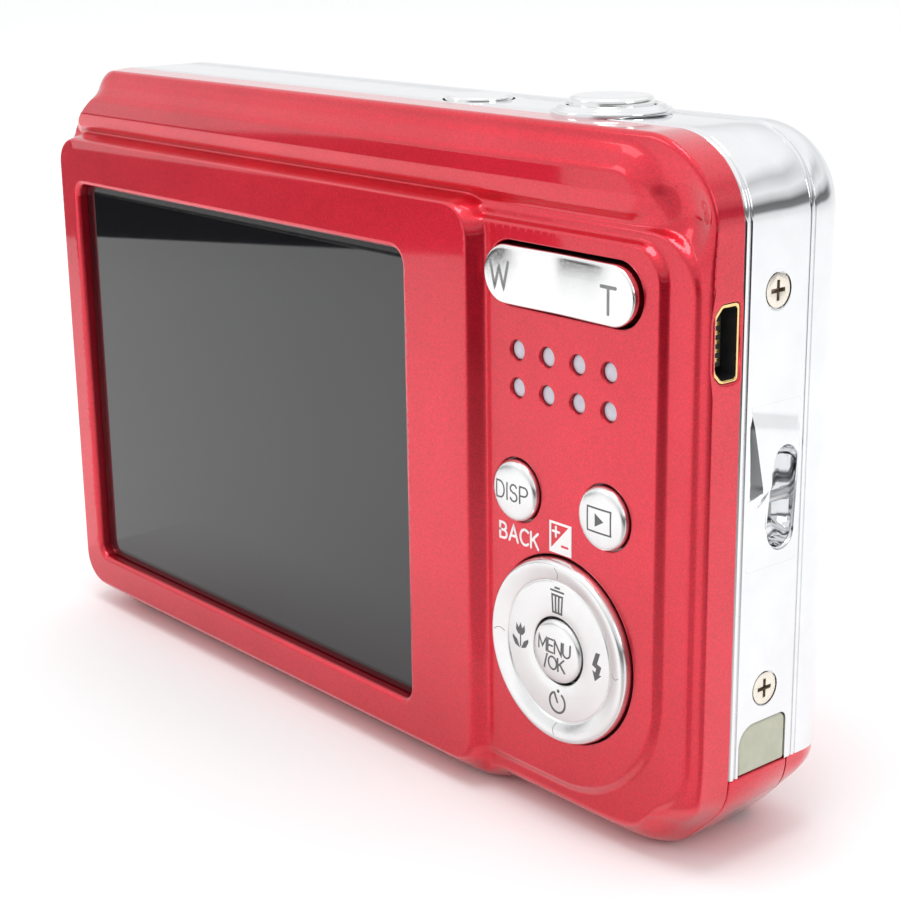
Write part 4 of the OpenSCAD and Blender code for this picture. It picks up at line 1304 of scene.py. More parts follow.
    # the bar that the strap loops round
    rings = []
    for y in (-1.56, -1.5, -1.0, -0.1, 0.8, 1.3, 1.36):
        rr_ = 0.46 + (0.10 if abs(y + 0.1) > 1.38 else 0.0)
        rings.append([(-HW + 0.95 + rr_ * math.cos(2 * math.pi * i / 32), y, 30.9 + rr_ * math.sin(2 * math.pi * i / 32)) for i in range(32)])
    v, f = rings_to_mesh(rings)
    f += [tuple(range(32)), tuple(range(len(v) - 1, len(v) - 33, -1))]
    o = piece("strap_bar", v, f, M_STEEL, "root")
    fix_normals(o); sharpen(o.data, 35)

    # rubber cover
    def loop(d):
        return rrect(-1.5 + d, 8.10 + d, 4.10 - d, 12.30 - d, (max(0.25 - d, 0.03), max(0.25 - d, 0.03), max(1.7 - d, 0.05), max(0.7 - d, 0.05)), 8)
    dep = [(0.0, -HW + 0.30), (0.015, -HW + 0.22), (0.06, -HW + 0.13), (0.13, -HW + 0.07), (0.22, -HW + 0.035), (0.4, -HW + 0.012), (1.2, -HW + 0.0)]
    o = pillow("dc_cover_rubber", loop, dep, M_RUBBER, "dc_cover", "dc_cover", lambda p, h: (h, p[0], p[1]), back=-HW + 1.1)
    tongue = cutter(*prism(rrect(-1.0, 9.0, 0.4, 11.7, 0.2, 4), -HW + 1.05, -HW + 1.58, "x"))
    cut(o, [tongue], "UNION")

    # screws: the head's own edge is rounded and its cross recess gets a darker colour, painted shade inside it
    o = from_cad("side_screws", "side_screws_heads", M_NICKEL, "root", 0.055, 2, limit=35)
    me = o.data
    me.materials.append(M_SCREW_RECESS_SHADE)
    for p_ in me.polygons:
        c = p_.center
        x, y, z = c.x * 1000 - XS, c.y * 1000, c.z * 1000
        for zc in (15.1, 47.8):
            a, b = y - 1.2, z - zc
            if math.hypot(a, b) < 1.05 and abs(x) < HW - 0.16 and abs(x) > HW - 0.9 and abs(p_.normal.x) < 0.9 or (math.hypot(a, b) < 0.85 and HW - 0.9 < abs(x) < HW - 0.4 and abs(p_.normal.x) > 0.9 and math.hypot(a, b) < 0.8):
                p_.material_index = 1

    # data socket: a folded shell with a rolled rim, and its tongue
    outer = [dport(-0.05 - d, 6) for d in (0.0, 0.02, 0.06)]
    inner_ = [dport(-0.05 - d, 6) for d in (0.20, 0.25, 0.27)]
    X0 = -HW + 0.07
    rows = [[(X0 + 5.2, p[0], p[1]) for p in outer[0]], [(X0 + 0.12, p[0], p[1]) for p in outer[0]], [(X0 + 0.035, p[0], p[1]) for p in outer[1]], [(X0, p[0], p[1]) for p in outer[2]],
            [(X0, p[0], p[1]) for p in inner_[0]], [(X0 + 0.035, p[0], p[1]) for p in inner_[1]], [(X0 + 0.12, p[0], p[1]) for p in inner_[2]], [(X0 + 5.0, p[0], p[1]) for p in inner_[2]]]
    m_ = min(len(r) for r in rows)
    rows = [[(r[int(i * len(r) / m_)]) for i in range(m_)] for r in rows]
    v, f = rings_to_mesh(rows)
    f.append(tuple(range(m_)))
    f.append(tuple(range(len(v) - 1, len(v) - m_ - 1, -1)))
    # the shell's deep inner wall and its far end take the black colour: painted shade inside the socket, the rest stays
    # gold
    fm = [0] * (7 * m_)
    for q in range(6 * m_, 7 * m_):
        fm[q] = 1
    fm += [0, 1]
    fm = fm[:len(f)] + [0] * (len(f) - len(fm))
    o = piece("usb_shell_rim", v, f, M_GOLD, "root", "usb_shell", mats=[M_BLACK_AND_SOCKET_SHADE], face_mats=fm)
    fix_normals(o); sharpen(o.data, 35)
    body = cutter(*prism(rrect(6.42, 42.55, 7.25, 46.45, 0.12, 4), -HW + 1.15, -HW + 5.15, "x"))
    body.name = "usb_tongue_body"
    body.data.name = "usb_tongue_body"
    body.data.materials.append(M_BLACK_AND_SOCKET_SHADE)
    own(body, "root", "usb_tongue")
    body.data.polygons.foreach_set("use_smooth", np.ones(len(body.data.polygons), dtype=bool)); sharpen(body.data, 30)
    v, f = [], []
    for i in range(5):
        z = 43.1 + 0.7 * i
        vv, ff = prism(rrect(z - 0.16, -HW + 1.25, z + 0.16, -HW + 4.6, 0.08, 3), 7.24, 7.30, "y")
        vv = [(p[2], p[1], p[0]) for p in vv]
        f += [tuple(q + len(v) for q in t) for t in ff]
        v += vv
        vv, ff = prism(rrect(6.50, z - 0.16, 7.30, z + 0.16, 0.05, 2), -HW + 1.11, -HW + 1.30, "x")
        f += [tuple(q + len(v) for q in t) for t in ff]
        v += vv
    o = piece("usb_contacts", v, f, M_GOLD, "root")
    fix_normals(o); sharpen(o.data, 30)


# ---------------------------------------------------------------- screen
def build_screen():
    def loop(d):
        return rrect(WIN[0] + 0.08 + d, WIN[1] + 0.08 + d, WIN[2] - 0.08 - d, WIN[3] - 0.08 - d, max(1.32 - d, 0.05), 8)
    rows = [(0.0, 9.07), (0.0, 9.95), (0.03, 10.02), (0.10, 10.05), (0.86, 10.05), (0.92, 10.05)]
    rings = [[(p[0], h, p[1]) for p in loop(d)] for d, h in rows]
    v, f = rings_to_mesh(rings)
    n = len(rings[0])
    fm = [1] * len(f)
    f.append(tuple(range(n))); fm.append(1)
    # the clear area is a single flat face inside the border
    b = (len(rings) - 1) * n
    f.append(tuple(range(b + n - 1, b - 1, -1))); fm.append(0)
    o = piece("lcd_window_glass", v, f, M_GLASS, "root", "lcd_window", 30, mats=[M_BORDER], face_mats=fm)
    fix_normals(o); sharpen(o.data, 30)


# ---------------------------------------------------------------- keys
def ring_dome(r):
    return lambda p: math.hypot(p[0], p[1])


def key_top(r, edge_y, mid_y, x, z):
    """Height of a shallow dome."""
    return lambda px, pz: mid_y - (mid_y - edge_y) * min(1.0, ((px - x) ** 2 + (pz - z) ** 2) / (r * r))


def dpad_y(px, pz):
    """Height of the four-way ring's face."""
    r = math.hypot(px - DPX, pz - DPZ)
    prof = DPAD_PROF
    for (r0, h0), (r1, h1) in zip(prof, prof[1:]):
        if (r0 - r) * (r1 - r) <= 0 and r0 != r1:
            return h0 + (h1 - h0) * (r - r0) / (r1 - r0)
    return prof[0][1]


DPAD_PROF = [(2.98, 10.22), (3.02, 10.29), (3.10, 10.33), (4.0, 10.34), (5.98, 10.34), (6.05, 10.33), (6.09, 10.27), (6.15, 10.27), (6.20, 10.335), (6.35, 10.40), (6.6, 10.49),
             (6.95, 10.61), (7.25, 10.695), (7.45, 10.735), (7.60, 10.745), (7.75, 10.71), (7.86, 10.63), (7.95, 10.49), (8.01, 10.30), (8.04, 10.1)]


def build_keys():
    lathe("dpad_ring_body", [(2.98, 9.02)] + DPAD_PROF + [(8.05, 9.9), (8.05, 9.02), (7.9, 9.0), (3.1, 9.0), (2.98, 9.02)], DPX, DPZ, M_KEY, "dpad_ring", "dpad_ring", 160, sharp=50)
    # centre key
    prof = [(0.0, 10.745), (0.4, 10.742), (0.9, 10.728), (1.4, 10.70), (1.9, 10.655), (2.25, 10.61), (2.5, 10.56), (2.64, 10.49), (2.73, 10.38), (2.77, 10.24), (2.78, 10.1), (2.78, 8.35), (3.13, 8.35), (3.13, 7.78), (1.0, 7.76), (1.0, 7.36), (0.0, 7.35)]
    lathe("ok_button_cap", prof, DPX, DPZ, M_KEY, "ok_button", "ok_button", 96, sharp=40)
    for nm, x, z, body in (("display_button", -26.09, 29.09, "display_button"), ("playback_button", -36.44, 29.13, "playback_button")):
        prof = [(0.0, 10.595), (0.5, 10.59), (1.0, 10.575), (1.5, 10.545), (1.95, 10.50), (2.25, 10.45), (2.42, 10.395), (2.54, 10.30), (2.62, 10.16), (2.655, 10.0), (2.66, 9.8), (2.66, 8.3), (3.16, 8.3), (3.16, 7.76), (1.0, 7.76), (1.0, 7.36), (0.0, 7.35)]
        lathe(nm + "_cap", prof, x, z, M_KEY, body, nm, 96, sharp=40)
    # rocker
    def rloop(d):
        r = 2.45 - d
        out = []
        n, m = 18, 30
        for k in range(n + 1):
            a = math.radians(-90 + 180 * k / n)
            out.append((-31.4 + 6.15 + r * math.cos(a), 47.4 + r * math.sin(a)))
        for k in range(1, m):
            out.append((-31.4 + 6.15 - 12.3 * k / m, 47.4 + r))
        for k in range(n + 1):
            a = math.radians(90 + 180 * k / n)
            out.append((-31.4 - 6.15 + r * math.cos(a), 47.4 + r * math.sin(a)))
        for k in range(1, m):
            out.append((-31.4 - 6.15 + 12.3 * k / m, 47.4 - r))
        return out
    rings = [[(p[0], 8.7, p[1]) for p in rloop(0.0)], [(p[0], 9.6, p[1]) for p in rloop(0.0)]]
    for a in (0, 15, 30, 45, 60, 75, 90):
        d = 0.22 * (1 - math.cos(math.radians(a)))
        rings.append([(p[0], rocker_y(p[0], p[1]) - 0.22 * (1 - math.sin(math.radians(a))), p[1]) for p in rloop(d)])
    for d in (0.5, 0.9, 1.4, 1.9):
        rings.append([(p[0], rocker_y(p[0], p[1]), p[1]) for p in rloop(d)])
    v, f = rings_to_mesh(rings)
    n = len(rings[0])
    f.append(tuple(range(n)))
    b = (len(rings) - 1) * n
    na, ma = 18, 30
    top_ = [na] + list(range(na + 1, na + ma)) + [na + ma]
    bot_ = [0] + list(range(2 * na + 2 * ma - 1, 2 * na + ma, -1)) + [2 * na + ma]
    for q in range(ma):
        f.append((b + top_[q], b + bot_[q], b + bot_[q + 1], b + top_[q + 1]))
    f.append(tuple(b + q for q in range(na, -1, -1)))
    f.append(tuple(b + q for q in range(2 * na + ma, na + ma - 1, -1)))
    o = piece("zoom_rocker_cap", v, f, M_KEYPOL, "zoom_rocker", "zoom_rocker", 35)
    fix_normals(o); sharpen(o.data, 38)
    # its hidden flange and the two feet
    vv, ff = prism([(p[0], p[1]) for p in rloop(0.0)], 7.45, 7.85, "y")
    vv = [(-31.4 + (a + 31.4) * 0.96, b_, 47.4 + (c - 47.4) * 0.86) for a, b_, c in vv]
    for s in (-1, 1):
        v2, f2 = prism(circle(-31.4 + 6.2 * s, 47.4, 0.7, 24), 7.25, 7.5, "y")
        ff += [tuple(q + len(vv) for q in t) for t in f2]
        vv += v2
    v2, f2 = prism([(-31.4 + (p[0] + 31.4) * 0.9, 47.4 + (p[1] - 47.4) * 0.9) for p in rloop(0.0)], 7.8, 8.72, "y")
    ff += [tuple(q + len(vv) for q in t) for t in f2]
    vv += v2
    o = piece("zoom_rocker_foot", vv, ff, M_GREY, "zoom_rocker")
    fix_normals(o); sharpen(o.data, 35)
    # speaker grille: a plate with a soft stud behind each hole
    zz, xx = np.meshgrid(np.arange(36.25, 42.6, 0.22), np.arange(-38.35, -24.2, 0.22))
    nz_, nx_ = zz.shape[1], zz.shape[0]
    v = [(float(xx[i, j]), 8.42 + 0.03 * math.sin(i * 1.57) * math.sin(j * 1.57), float(zz[i, j])) for i in range(nx_) for j in range(nz_)]
    f = [(i * nz_ + j, i * nz_ + j + 1, (i + 1) * nz_ + j + 1, (i + 1) * nz_ + j) for i in range(nx_ - 1) for j in range(nz_ - 1)]
    nb_ = len(v)
    v += [(a, 8.22, c) for a, _, c in v[:nb_]]
    f += [tuple(q + nb_ for q in reversed(t)) for t in f]
    rim = [i * nz_ for i in range(nx_)] + [(nx_ - 1) * nz_ + j for j in range(1, nz_)] + [i * nz_ + nz_ - 1 for i in range(nx_ - 2, -1, -1)] + [j for j in range(nz_ - 2, 0, -1)]
    f += [(rim[i], rim[(i + 1) % len(rim)], rim[(i + 1) % len(rim)] + nb_, rim[i] + nb_) for i in range(len(rim))]
    for i in range(4):
        for j in range(2):
            cx, cz = -26.03 - 3.53 * i, 41.07 - 3.19 * j
            rg = []
            for r, h in ((0.80, 8.40), (0.80, 9.36), (0.785, 9.41), (0.73, 9.445), (0.55, 9.46), (0.28, 9.465), (0.06, 9.466)):
                rg.append([(cx + r * math.cos(2 * math.pi * q / 36), h, cz + r * math.sin(2 * math.pi * q / 36)) for q in range(36)])
            v2, f2 = rings_to_mesh(rg)
            f2 += [tuple(range(36)), tuple(range(len(v2) - 1, len(v2) - 37, -1))]
            f += [tuple(q + len(v) for q in t) for t in f2]
            v += v2
    o = piece("speaker_mesh_studs", v, f, M_MESH, "root", "speaker_mesh", 35)
    fix_normals(o); sharpen(o.data, 35)
    # top controls
    prof = [(0.0, 61.275), (0.8, 61.278), (1.6, 61.288), (2.3, 61.298), (2.85, 61.30), (3.12, 61.285), (3.30, 61.235), (3.42, 61.14), (3.48, 61.0), (3.5, 60.8), (3.5, 59.0), (4.1, 59.0), (4.1, 57.2), (1.5, 57.2), (1.5, 55.6), (0.0, 55.6)]
    lathe("shutter_button_cap", prof, -28.1, 0, M_KEYPOL, "shutter_button", "shutter_button", 128, axis="z", cy=1.2, sharp=40)
    h = BH
    prof = [(3.76, h - 0.9), (3.76, h + 0.55), (3.80, h + 0.66), (3.90, h + 0.735), (4.05, h + 0.75), (4.25, h + 0.73), (4.42, h + 0.66), (4.54, h + 0.55), (4.60, h + 0.46), (4.72, h + 0.435), (4.84, h + 0.415), (4.94, h + 0.35), (4.99, h + 0.24), (5.0, h + 0.12), (5.0, h + 0.0), (3.76, h - 0.0)]
    prof = [p for p in prof if p[1] > h - 0.01] + [(3.76, h + 0.0)]
    lathe("shutter_ring_collar", prof, -28.1, 0, M_CHROME, "root", "shutter_ring", 144, axis="z", cy=1.2, sharp=50)
    prof = [(0.0, 60.20), (0.9, 60.205), (1.7, 60.22), (2.3, 60.24), (2.62, 60.25), (2.78, 60.235), (2.90, 60.18), (2.97, 60.09), (3.0, 59.95), (3.0, 58.3), (3.6, 58.3), (3.6, 57.3), (1.2, 57.3), (1.2, 55.6), (0.0, 55.6)]
    lathe("power_button_cap", prof, -12, 0, M_KEYPOL, "power_button", "power_button", 112, axis="z", cy=1.4, sharp=40)


def rocker_y(x, z):
    t = (x + 31.4) / 8.6
    return 10.58 - 0.20 * math.exp(-(t / 0.42) ** 2) - 0.02 * ((z - 47.4) / 2.45) ** 2


# ---------------------------------------------------------------- legends
def arcpts(cx, cy, rx, ry, a0, a1, n=10):
    return [(cx + rx * math.cos(math.radians(a0 + (a1 - a0) * i / n)), cy + ry * math.sin(math.radians(a0 + (a1 - a0) * i / n))) for i in range(n + 1)]


# plain stroke letters on a box 0..w by 0..1
GLYPH = {
    "W": (1.0, [[(0, 1), (0.25, 0), (0.5, 0.8), (0.75, 0), (1.0, 1)]]),
    "T": (0.75, [[(0, 1), (0.75, 1)], [(0.375, 1), (0.375, 0)]]),
    "D": (0.7, [[(0, 0), (0, 1), (0.3, 1)] + arcpts(0.3, 0.5, 0.4, 0.5, 90, -90)[1:] + [(0, 0)]]),
    "I": (0.06, [[(0.03, 0), (0.03, 1)]]),
    "S": (0.6, [arcpts(0.31, 0.74, 0.27, 0.26, 25, 200, 8) + arcpts(0.31, 0.26, 0.28, 0.26, 100, -160, 12)]),
    "P": (0.6, [[(0, 0), (0, 1), (0.32, 1)] + arcpts(0.32, 0.73, 0.28, 0.27, 90, -90, 8)[1:] + [(0, 0.46)]]),
    "B": (0.62, [[(0, 0), (0, 1), (0.3, 1)] + arcpts(0.3, 0.76, 0.25, 0.24, 90, -90, 8)[1:] + [(0, 0.52)], [(0.3, 0.52)] + arcpts(0.32, 0.26, 0.30, 0.26, 90, -90, 8) + [(0, 0)]]),
    "A": (0.78, [[(0, 0), (0.39, 1), (0.78, 0)], [(0.14, 0.34), (0.64, 0.34)]]),
    "C": (0.72, [arcpts(0.42, 0.5, 0.42, 0.5, 48, 312, 16)]),
    "K": (0.66, [[(0, 0), (0, 1)], [(0.62, 1), (0.02, 0.42)], [(0.22, 0.6), (0.66, 0)]]),
    "M": (0.86, [[(0, 0), (0, 1), (0.43, 0.25), (0.86, 1), (0.86, 0)]]),
    "E": (0.55, [[(0.55, 1), (0, 1), (0, 0), (0.55, 0)], [(0, 0.52), (0.48, 0.52)]]),
    "N": (0.7, [[(0, 0), (0, 1), (0.7, 0), (0.7, 1)]]),
    "U": (0.68, [[(0, 1), (0, 0.34)] + arcpts(0.34, 0.34, 0.34, 0.34, 180, 360, 10)[1:] + [(0.68, 1)]]),
    "O": (0.86, [arcpts(0.43, 0.5, 0.43, 0.5, 90, 450, 22)]),
    "/": (0.4, [[(0, -0.1), (0.38, 1.05)]]),
}


def word(text, h, gap=0.2):
    """Strokes of a word of height h centred on the origin."""
    x, out = 0.0, []
    for ch in text:
        w, st = GLYPH[ch]
        out += [[(x + a, b) for a, b in s] for s in st]
        x += w + gap
    x -= gap
    return [[((a - x / 2) * h, (b - 0.5) * h) for a, b in s] for s in out]


def move(strokes, x, z):
    """To the casing frame: seen from behind, the word's right is -X."""
    return [[(x - a, z + b) for a, b in s] for s in strokes]


def ink(name, strokes, width, surf, mat, body, fills=(), up=0.012, down=0.05):
    """Raised legend: each stroke is a thin bar with round ends, lying on a surface y = surf(x, z)."""
    verts, faces = [], []

    def closed(top, bottom):
        n = len(top)
        b = len(verts)
        verts.extend(top)
        verts.extend(bottom)
        faces.append(tuple(range(b, b + n)))
        faces.append(tuple(range(b + 2 * n - 1, b + n - 1, -1)))
        for i in range(n):
            k = (i + 1) % n
            faces.append((b + i, b + n + i, b + n + k, b + k))

    base_up = up
    for si, s in enumerate(strokes):
        # each stroke sits a hair higher than the last, so that crossings never share a face
        up = base_up + 0.0016 * si
        # even samples along the stroke
        pts = [Vector(p) for p in s]
        fine = [pts[0]]
        for a, b in zip(pts, pts[1:]):
            m = max(1, int((b - a).length / 0.18))
            fine += [a + (b - a) * (k / m) for k in range(1, m + 1)]
        loopc = (fine[0] - fine[-1]).length < 1e-6
        if loopc:
            fine = fine[:-1]
        n = len(fine)
        L, R = [], []
        for i in range(n):
            a = fine[i - 1] if (i > 0 or loopc) else fine[i]
            b = fine[(i + 1) % n] if (i < n - 1 or loopc) else fine[i]
            t = (b - a).normalized()
            nn = Vector((-t.y, t.x))
            # mitre at corners
            k = 1.0
            if 0 < i < n - 1 or loopc:
                t1 = (fine[i] - fine[i - 1]).normalized(); t2 = (fine[(i + 1) % n] - fine[i]).normalized()
                c_ = max(0.45, math.sqrt(max(0.0, (1 + t1.dot(t2)) / 2)))
                k = 1 / c_
            L.append(fine[i] + nn * width / 2 * k)
            R.append(fine[i] - nn * width / 2 * k)
        if not loopc:
            # round ends
            def cap(p, t, r):
                a0 = math.atan2(t.y, t.x)
                return [p + Vector((math.cos(a0 + math.radians(q)), math.sin(a0 + math.radians(q)))) * r for q in (60, 30, 0, -30, -60)]
            te = (fine[-1] - fine[-2]).normalized()
            ts = (fine[0] - fine[1]).normalized()
            b0 = len(verts)
            seq = L + cap(fine[-1], te, width / 2) + R[::-1] + cap(fine[0], ts, width / 2)
            top = [(p.x, surf(p.x, p.y) + up, p.y) for p in seq]
            bot = [(p.x, surf(p.x, p.y) - down, p.y) for p in seq]
            # quads along the body, fans at the ends
            nL = len(L)
            b = len(verts)
            verts.extend(top); verts.extend(bot)
            N = len(seq)
            for i in range(nL - 1):
                l0, l1 = i, i + 1
                r0, r1 = nL + 5 + (nL - 1 - i), nL + 5 + (nL - 2 - i)
                faces.append((b + l0, b + l1, b + r1, b + r0))
                faces.append((b + N + r0, b + N + r1, b + N + l1, b + N + l0))
            e = [nL - 1] + list(range(nL, nL + 5)) + [nL + 5]
            faces.append(tuple(b + q for q in e)); faces.append(tuple(b + N + q for q in reversed(e)))
            e = [2 * nL + 4] + list(range(2 * nL + 5, 2 * nL + 10)) + [0]
            faces.append(tuple(b + q for q in e)); faces.append(tuple(b + N + q for q in reversed(e)))
            for i in range(N):
                k_ = (i + 1) % N
                faces.append((b + i, b + N + i, b + N + k_, b + k_))
        else:
            b = len(verts)
            for row, dy in ((L, up), (R, up), (R, -down), (L, -down)):
                verts.extend([(p.x, surf(p.x, p.y) + dy, p.y) for p in row])
            for q in range(4):
                q2 = (q + 1) % 4
                for i in range(n):
                    k_ = (i + 1) % n
                    faces.append((b + q * n + i, b + q * n + k_, b + q2 * n + k_, b + q2 * n + i))
    up = base_up - 0.0012
    for poly in fills:
        top = [(x, surf(x, z) + up, z) for x, z in poly]
        bot = [(x, surf(x, z) - down, z) for x, z in poly]
        closed(top, bot)
    o = piece(name, verts, faces, mat, body, (), 40)
    fix_normals(o); sharpen(o.data, 40)
    return o


def build_legends():
    flat = lambda h: (lambda x, z: float(rear_surface(np.array([x]), np.array([z]))[0][0]) + h - 9.8)
    # rocker: W and T, grey strokes laid on the polished face for the letters cut in it
    ink("rocker_letters", move(word("W", 2.15), -24.75, 47.35) + move(word("T", 2.1), -37.25, 47.0), 0.29, rocker_y, M_INK_SOFT, "zoom_rocker", up=0.008)
    kd = key_top(2.42, 10.395, 10.595, -26.09, 29.09)
    kp = key_top(2.42, 10.395, 10.595, -36.44, 29.13)
    kd = dome_of(-26.09, 29.09); kp = dome_of(-36.44, 29.13)
    ink("display_legend", move(word("DISP", 1.45, 0.22), -26.12, 29.05), 0.15, kd, M_INK, "display_button")
    box_ = [[(-37.75, 28.05), (-37.75, 30.05), (-35.15, 30.05), (-35.15, 28.05), (-37.75, 28.05)]]
    tri = [[(-36.02, 29.62), (-36.02, 28.48), (-37.0, 29.05)]]
    ink("playback_legend", box_, 0.15, kp, M_INK, "playback_button", fills=tri)
    ink("menu_legend", move(word("MENU", 1.14, 0.17), DPX + 0.05, DPZ + 0.50) + move(word("/OK", 1.14, 0.12), DPX + 0.05, DPZ - 0.98), 0.155, ok_y, M_INK, "ok_button")
    # white words and the exposure sign on the cover
    ink("back_legend", move(word("BACK", 1.36, 0.24), -26.25, 25.12), 0.215, flat(9.8), M_WHITE, "root", up=0.04)
    ex = (-31.28, 26.08)
    sq = [(ex[0] + 1.2, ex[1] - 1.25), (ex[0] + 1.2, ex[1] + 1.25), (ex[0] - 1.2, ex[1] + 1.25), (ex[0] - 1.2, ex[1] - 1.25)]
    white_strokes = [sq + [sq[0]], [(ex[0] + 1.15, ex[1] - 1.2), (ex[0] - 1.15, ex[1] + 1.2)], [(ex[0] + 0.92, ex[1] + 0.50), (ex[0] + 0.14, ex[1] + 0.50)], [(ex[0] + 0.53, ex[1] + 0.92), (ex[0] + 0.53, ex[1] + 0.08)]]
    tri = [[sq[0], sq[2], sq[3]]]
    ink("exposure_sign", white_strokes, 0.20, flat(9.8), M_WHITE, "root", fills=tri, up=0.04)
    ink("exposure_minus", [[(ex[0] - 0.18, ex[1] - 0.62), (ex[0] - 0.88, ex[1] - 0.62)]], 0.20, flat(9.83), M_RED, "root")
    # four-way ring: bin, flower, flash and self-timer signs
    cx, cz = DPX, DPZ
    t = (cx + 0.05, cz + 4.55); K = 1.22
    bin_ = [[(0.62, 0.62), (-0.62, 0.62)], [(0.2, 0.86), (-0.2, 0.86)], [(0.5, 0.30), (0.42, -0.95), (-0.42, -0.95), (-0.5, 0.30), (0.5, 0.30)],
            [(0.17, 0.28), (0.14, -0.93)], [(-0.17, 0.28), (-0.14, -0.93)]]
    bin_ = [[(t[0] + a * K, t[1] + c * K) for a, c in q] for q in bin_]
    ink("ring_sign_bin", bin_, 0.17, dpad_y, M_INK, "dpad_ring")
    s = (cx - 0.0, cz - 4.6)
    timer = [arcpts(s[0], s[1], 0.92, 0.92, 125, 415, 26), [(s[0], s[1] + 0.02), (s[0] + 0.36, s[1] + 0.80)]]
    ink("ring_sign_timer", timer, 0.20, dpad_y, M_INK, "dpad_ring", fills=[circle(s[0] - 0.10, s[1] + 1.05, 0.16, 14)])
    b = (cx - 4.6, cz + 0.0)
    bolt = [[(b[0] + 0.05, b[1] + 1.0), (b[0] - 0.28, b[1] + 1.02), (b[0] - 0.05, b[1] + 0.24), (b[0] - 0.38, b[1] + 0.10), (b[0] - 0.22, b[1] - 0.52), (b[0] - 0.42, b[1] - 0.46), (b[0] + 0.10, b[1] - 1.02), (b[0] + 0.30, b[1] - 0.30), (b[0] + 0.08, b[1] - 0.40), (b[0] + 0.0, b[1] - 0.12), (b[0] + 0.33, b[1] + 0.06)]]
    bolt = [(b[0] + (q - b[0]) * 1.5, b[1] + (w_ - b[1]) * 1.25) for q, w_ in bolt[0]]
    ink("ring_sign_flash", [], 0.1, dpad_y, M_INK, "dpad_ring", fills=split_poly(bolt))
    fl = (cx + 4.55, cz + 0.05)
    petals = [[(fl[0] - 0.42, fl[1] + 0.95), (fl[0] - 0.18, fl[1] + 0.62), (fl[0] + 0.0, fl[1] + 1.05), (fl[0] + 0.18, fl[1] + 0.62), (fl[0] + 0.42, fl[1] + 0.95), (fl[0] + 0.46, fl[1] + 0.42), (fl[0] + 0.22, fl[1] + 0.12), (fl[0] - 0.22, fl[1] + 0.12), (fl[0] - 0.46, fl[1] + 0.42)]]
    leaf = [(fl[0] + 0.06, fl[1] - 0.95), (fl[0] + 0.55, fl[1] - 0.78), (fl[0] + 0.82, fl[1] - 0.30), (fl[0] + 0.80, fl[1] - 0.05), (fl[0] + 0.35, fl[1] - 0.35)]
    leaf2 = [(2 * fl[0] - a, c) for a, c in leaf]
    ink("ring_sign_flower", [[(fl[0], fl[1] + 0.15), (fl[0], fl[1] - 0.9)]], 0.13, dpad_y, M_INK, "dpad_ring", fills=[[(fl[0] + (a - fl[0]) * 1.2, fl[1] + (c - fl[1]) * 1.15) for a, c in tri_] for tri_ in split_poly(petals[0]) + split_poly(leaf) + split_poly(leaf2)])
    # fine marks on the rim of the ring
    marks = []
    for a0 in (90, 0, -90, 180):
        m = []
        for q in range(7):
            r = 6.45 + q * 0.17
            a = math.radians(a0 + 2.2 * math.sin(math.pi * q / 6))
            m.append((cx + r * math.cos(a), cz + r * math.sin(a)))
        marks.append(m)
    ink("ring_marks", marks, 0.06, dpad_y, M_INK_SOFT, "dpad_ring", up=0.004)


def split_poly(poly):
    """Triangles of a simple polygon, so that each filled face is planar enough on a curved face."""
    from mathutils.geometry import tessellate_polygon
    tris = tessellate_polygon([[Vector((p[0], p[1], 0)) for p in poly]])
    return [[poly[i] for i in t] for t in tris]


def prof_y(prof, r):
    for (r0, h0), (r1, h1) in zip(prof, prof[1:]):
        if (r0 - r) * (r1 - r) <= 0 and r0 != r1:
            return h0 + (h1 - h0) * (r - r0) / (r1 - r0)
    return prof[0][1]


def dome_of(x, z):
    prof = [(0.0, 10.595), (0.5, 10.59), (1.0, 10.575), (1.5, 10.545), (1.95, 10.50), (2.25, 10.45), (2.42, 10.395), (2.54, 10.30)]
    return lambda px, pz: prof_y(prof, math.hypot(px - x, pz - z))


def ok_y(px, pz):
    prof = [(0.0, 10.745), (0.4, 10.742), (0.9, 10.728), (1.4, 10.70), (1.9, 10.655), (2.25, 10.61), (2.5, 10.56), (2.64, 10.49)]
    return prof_y(prof, min(2.6, math.hypot(px - DPX, pz - DPZ)))




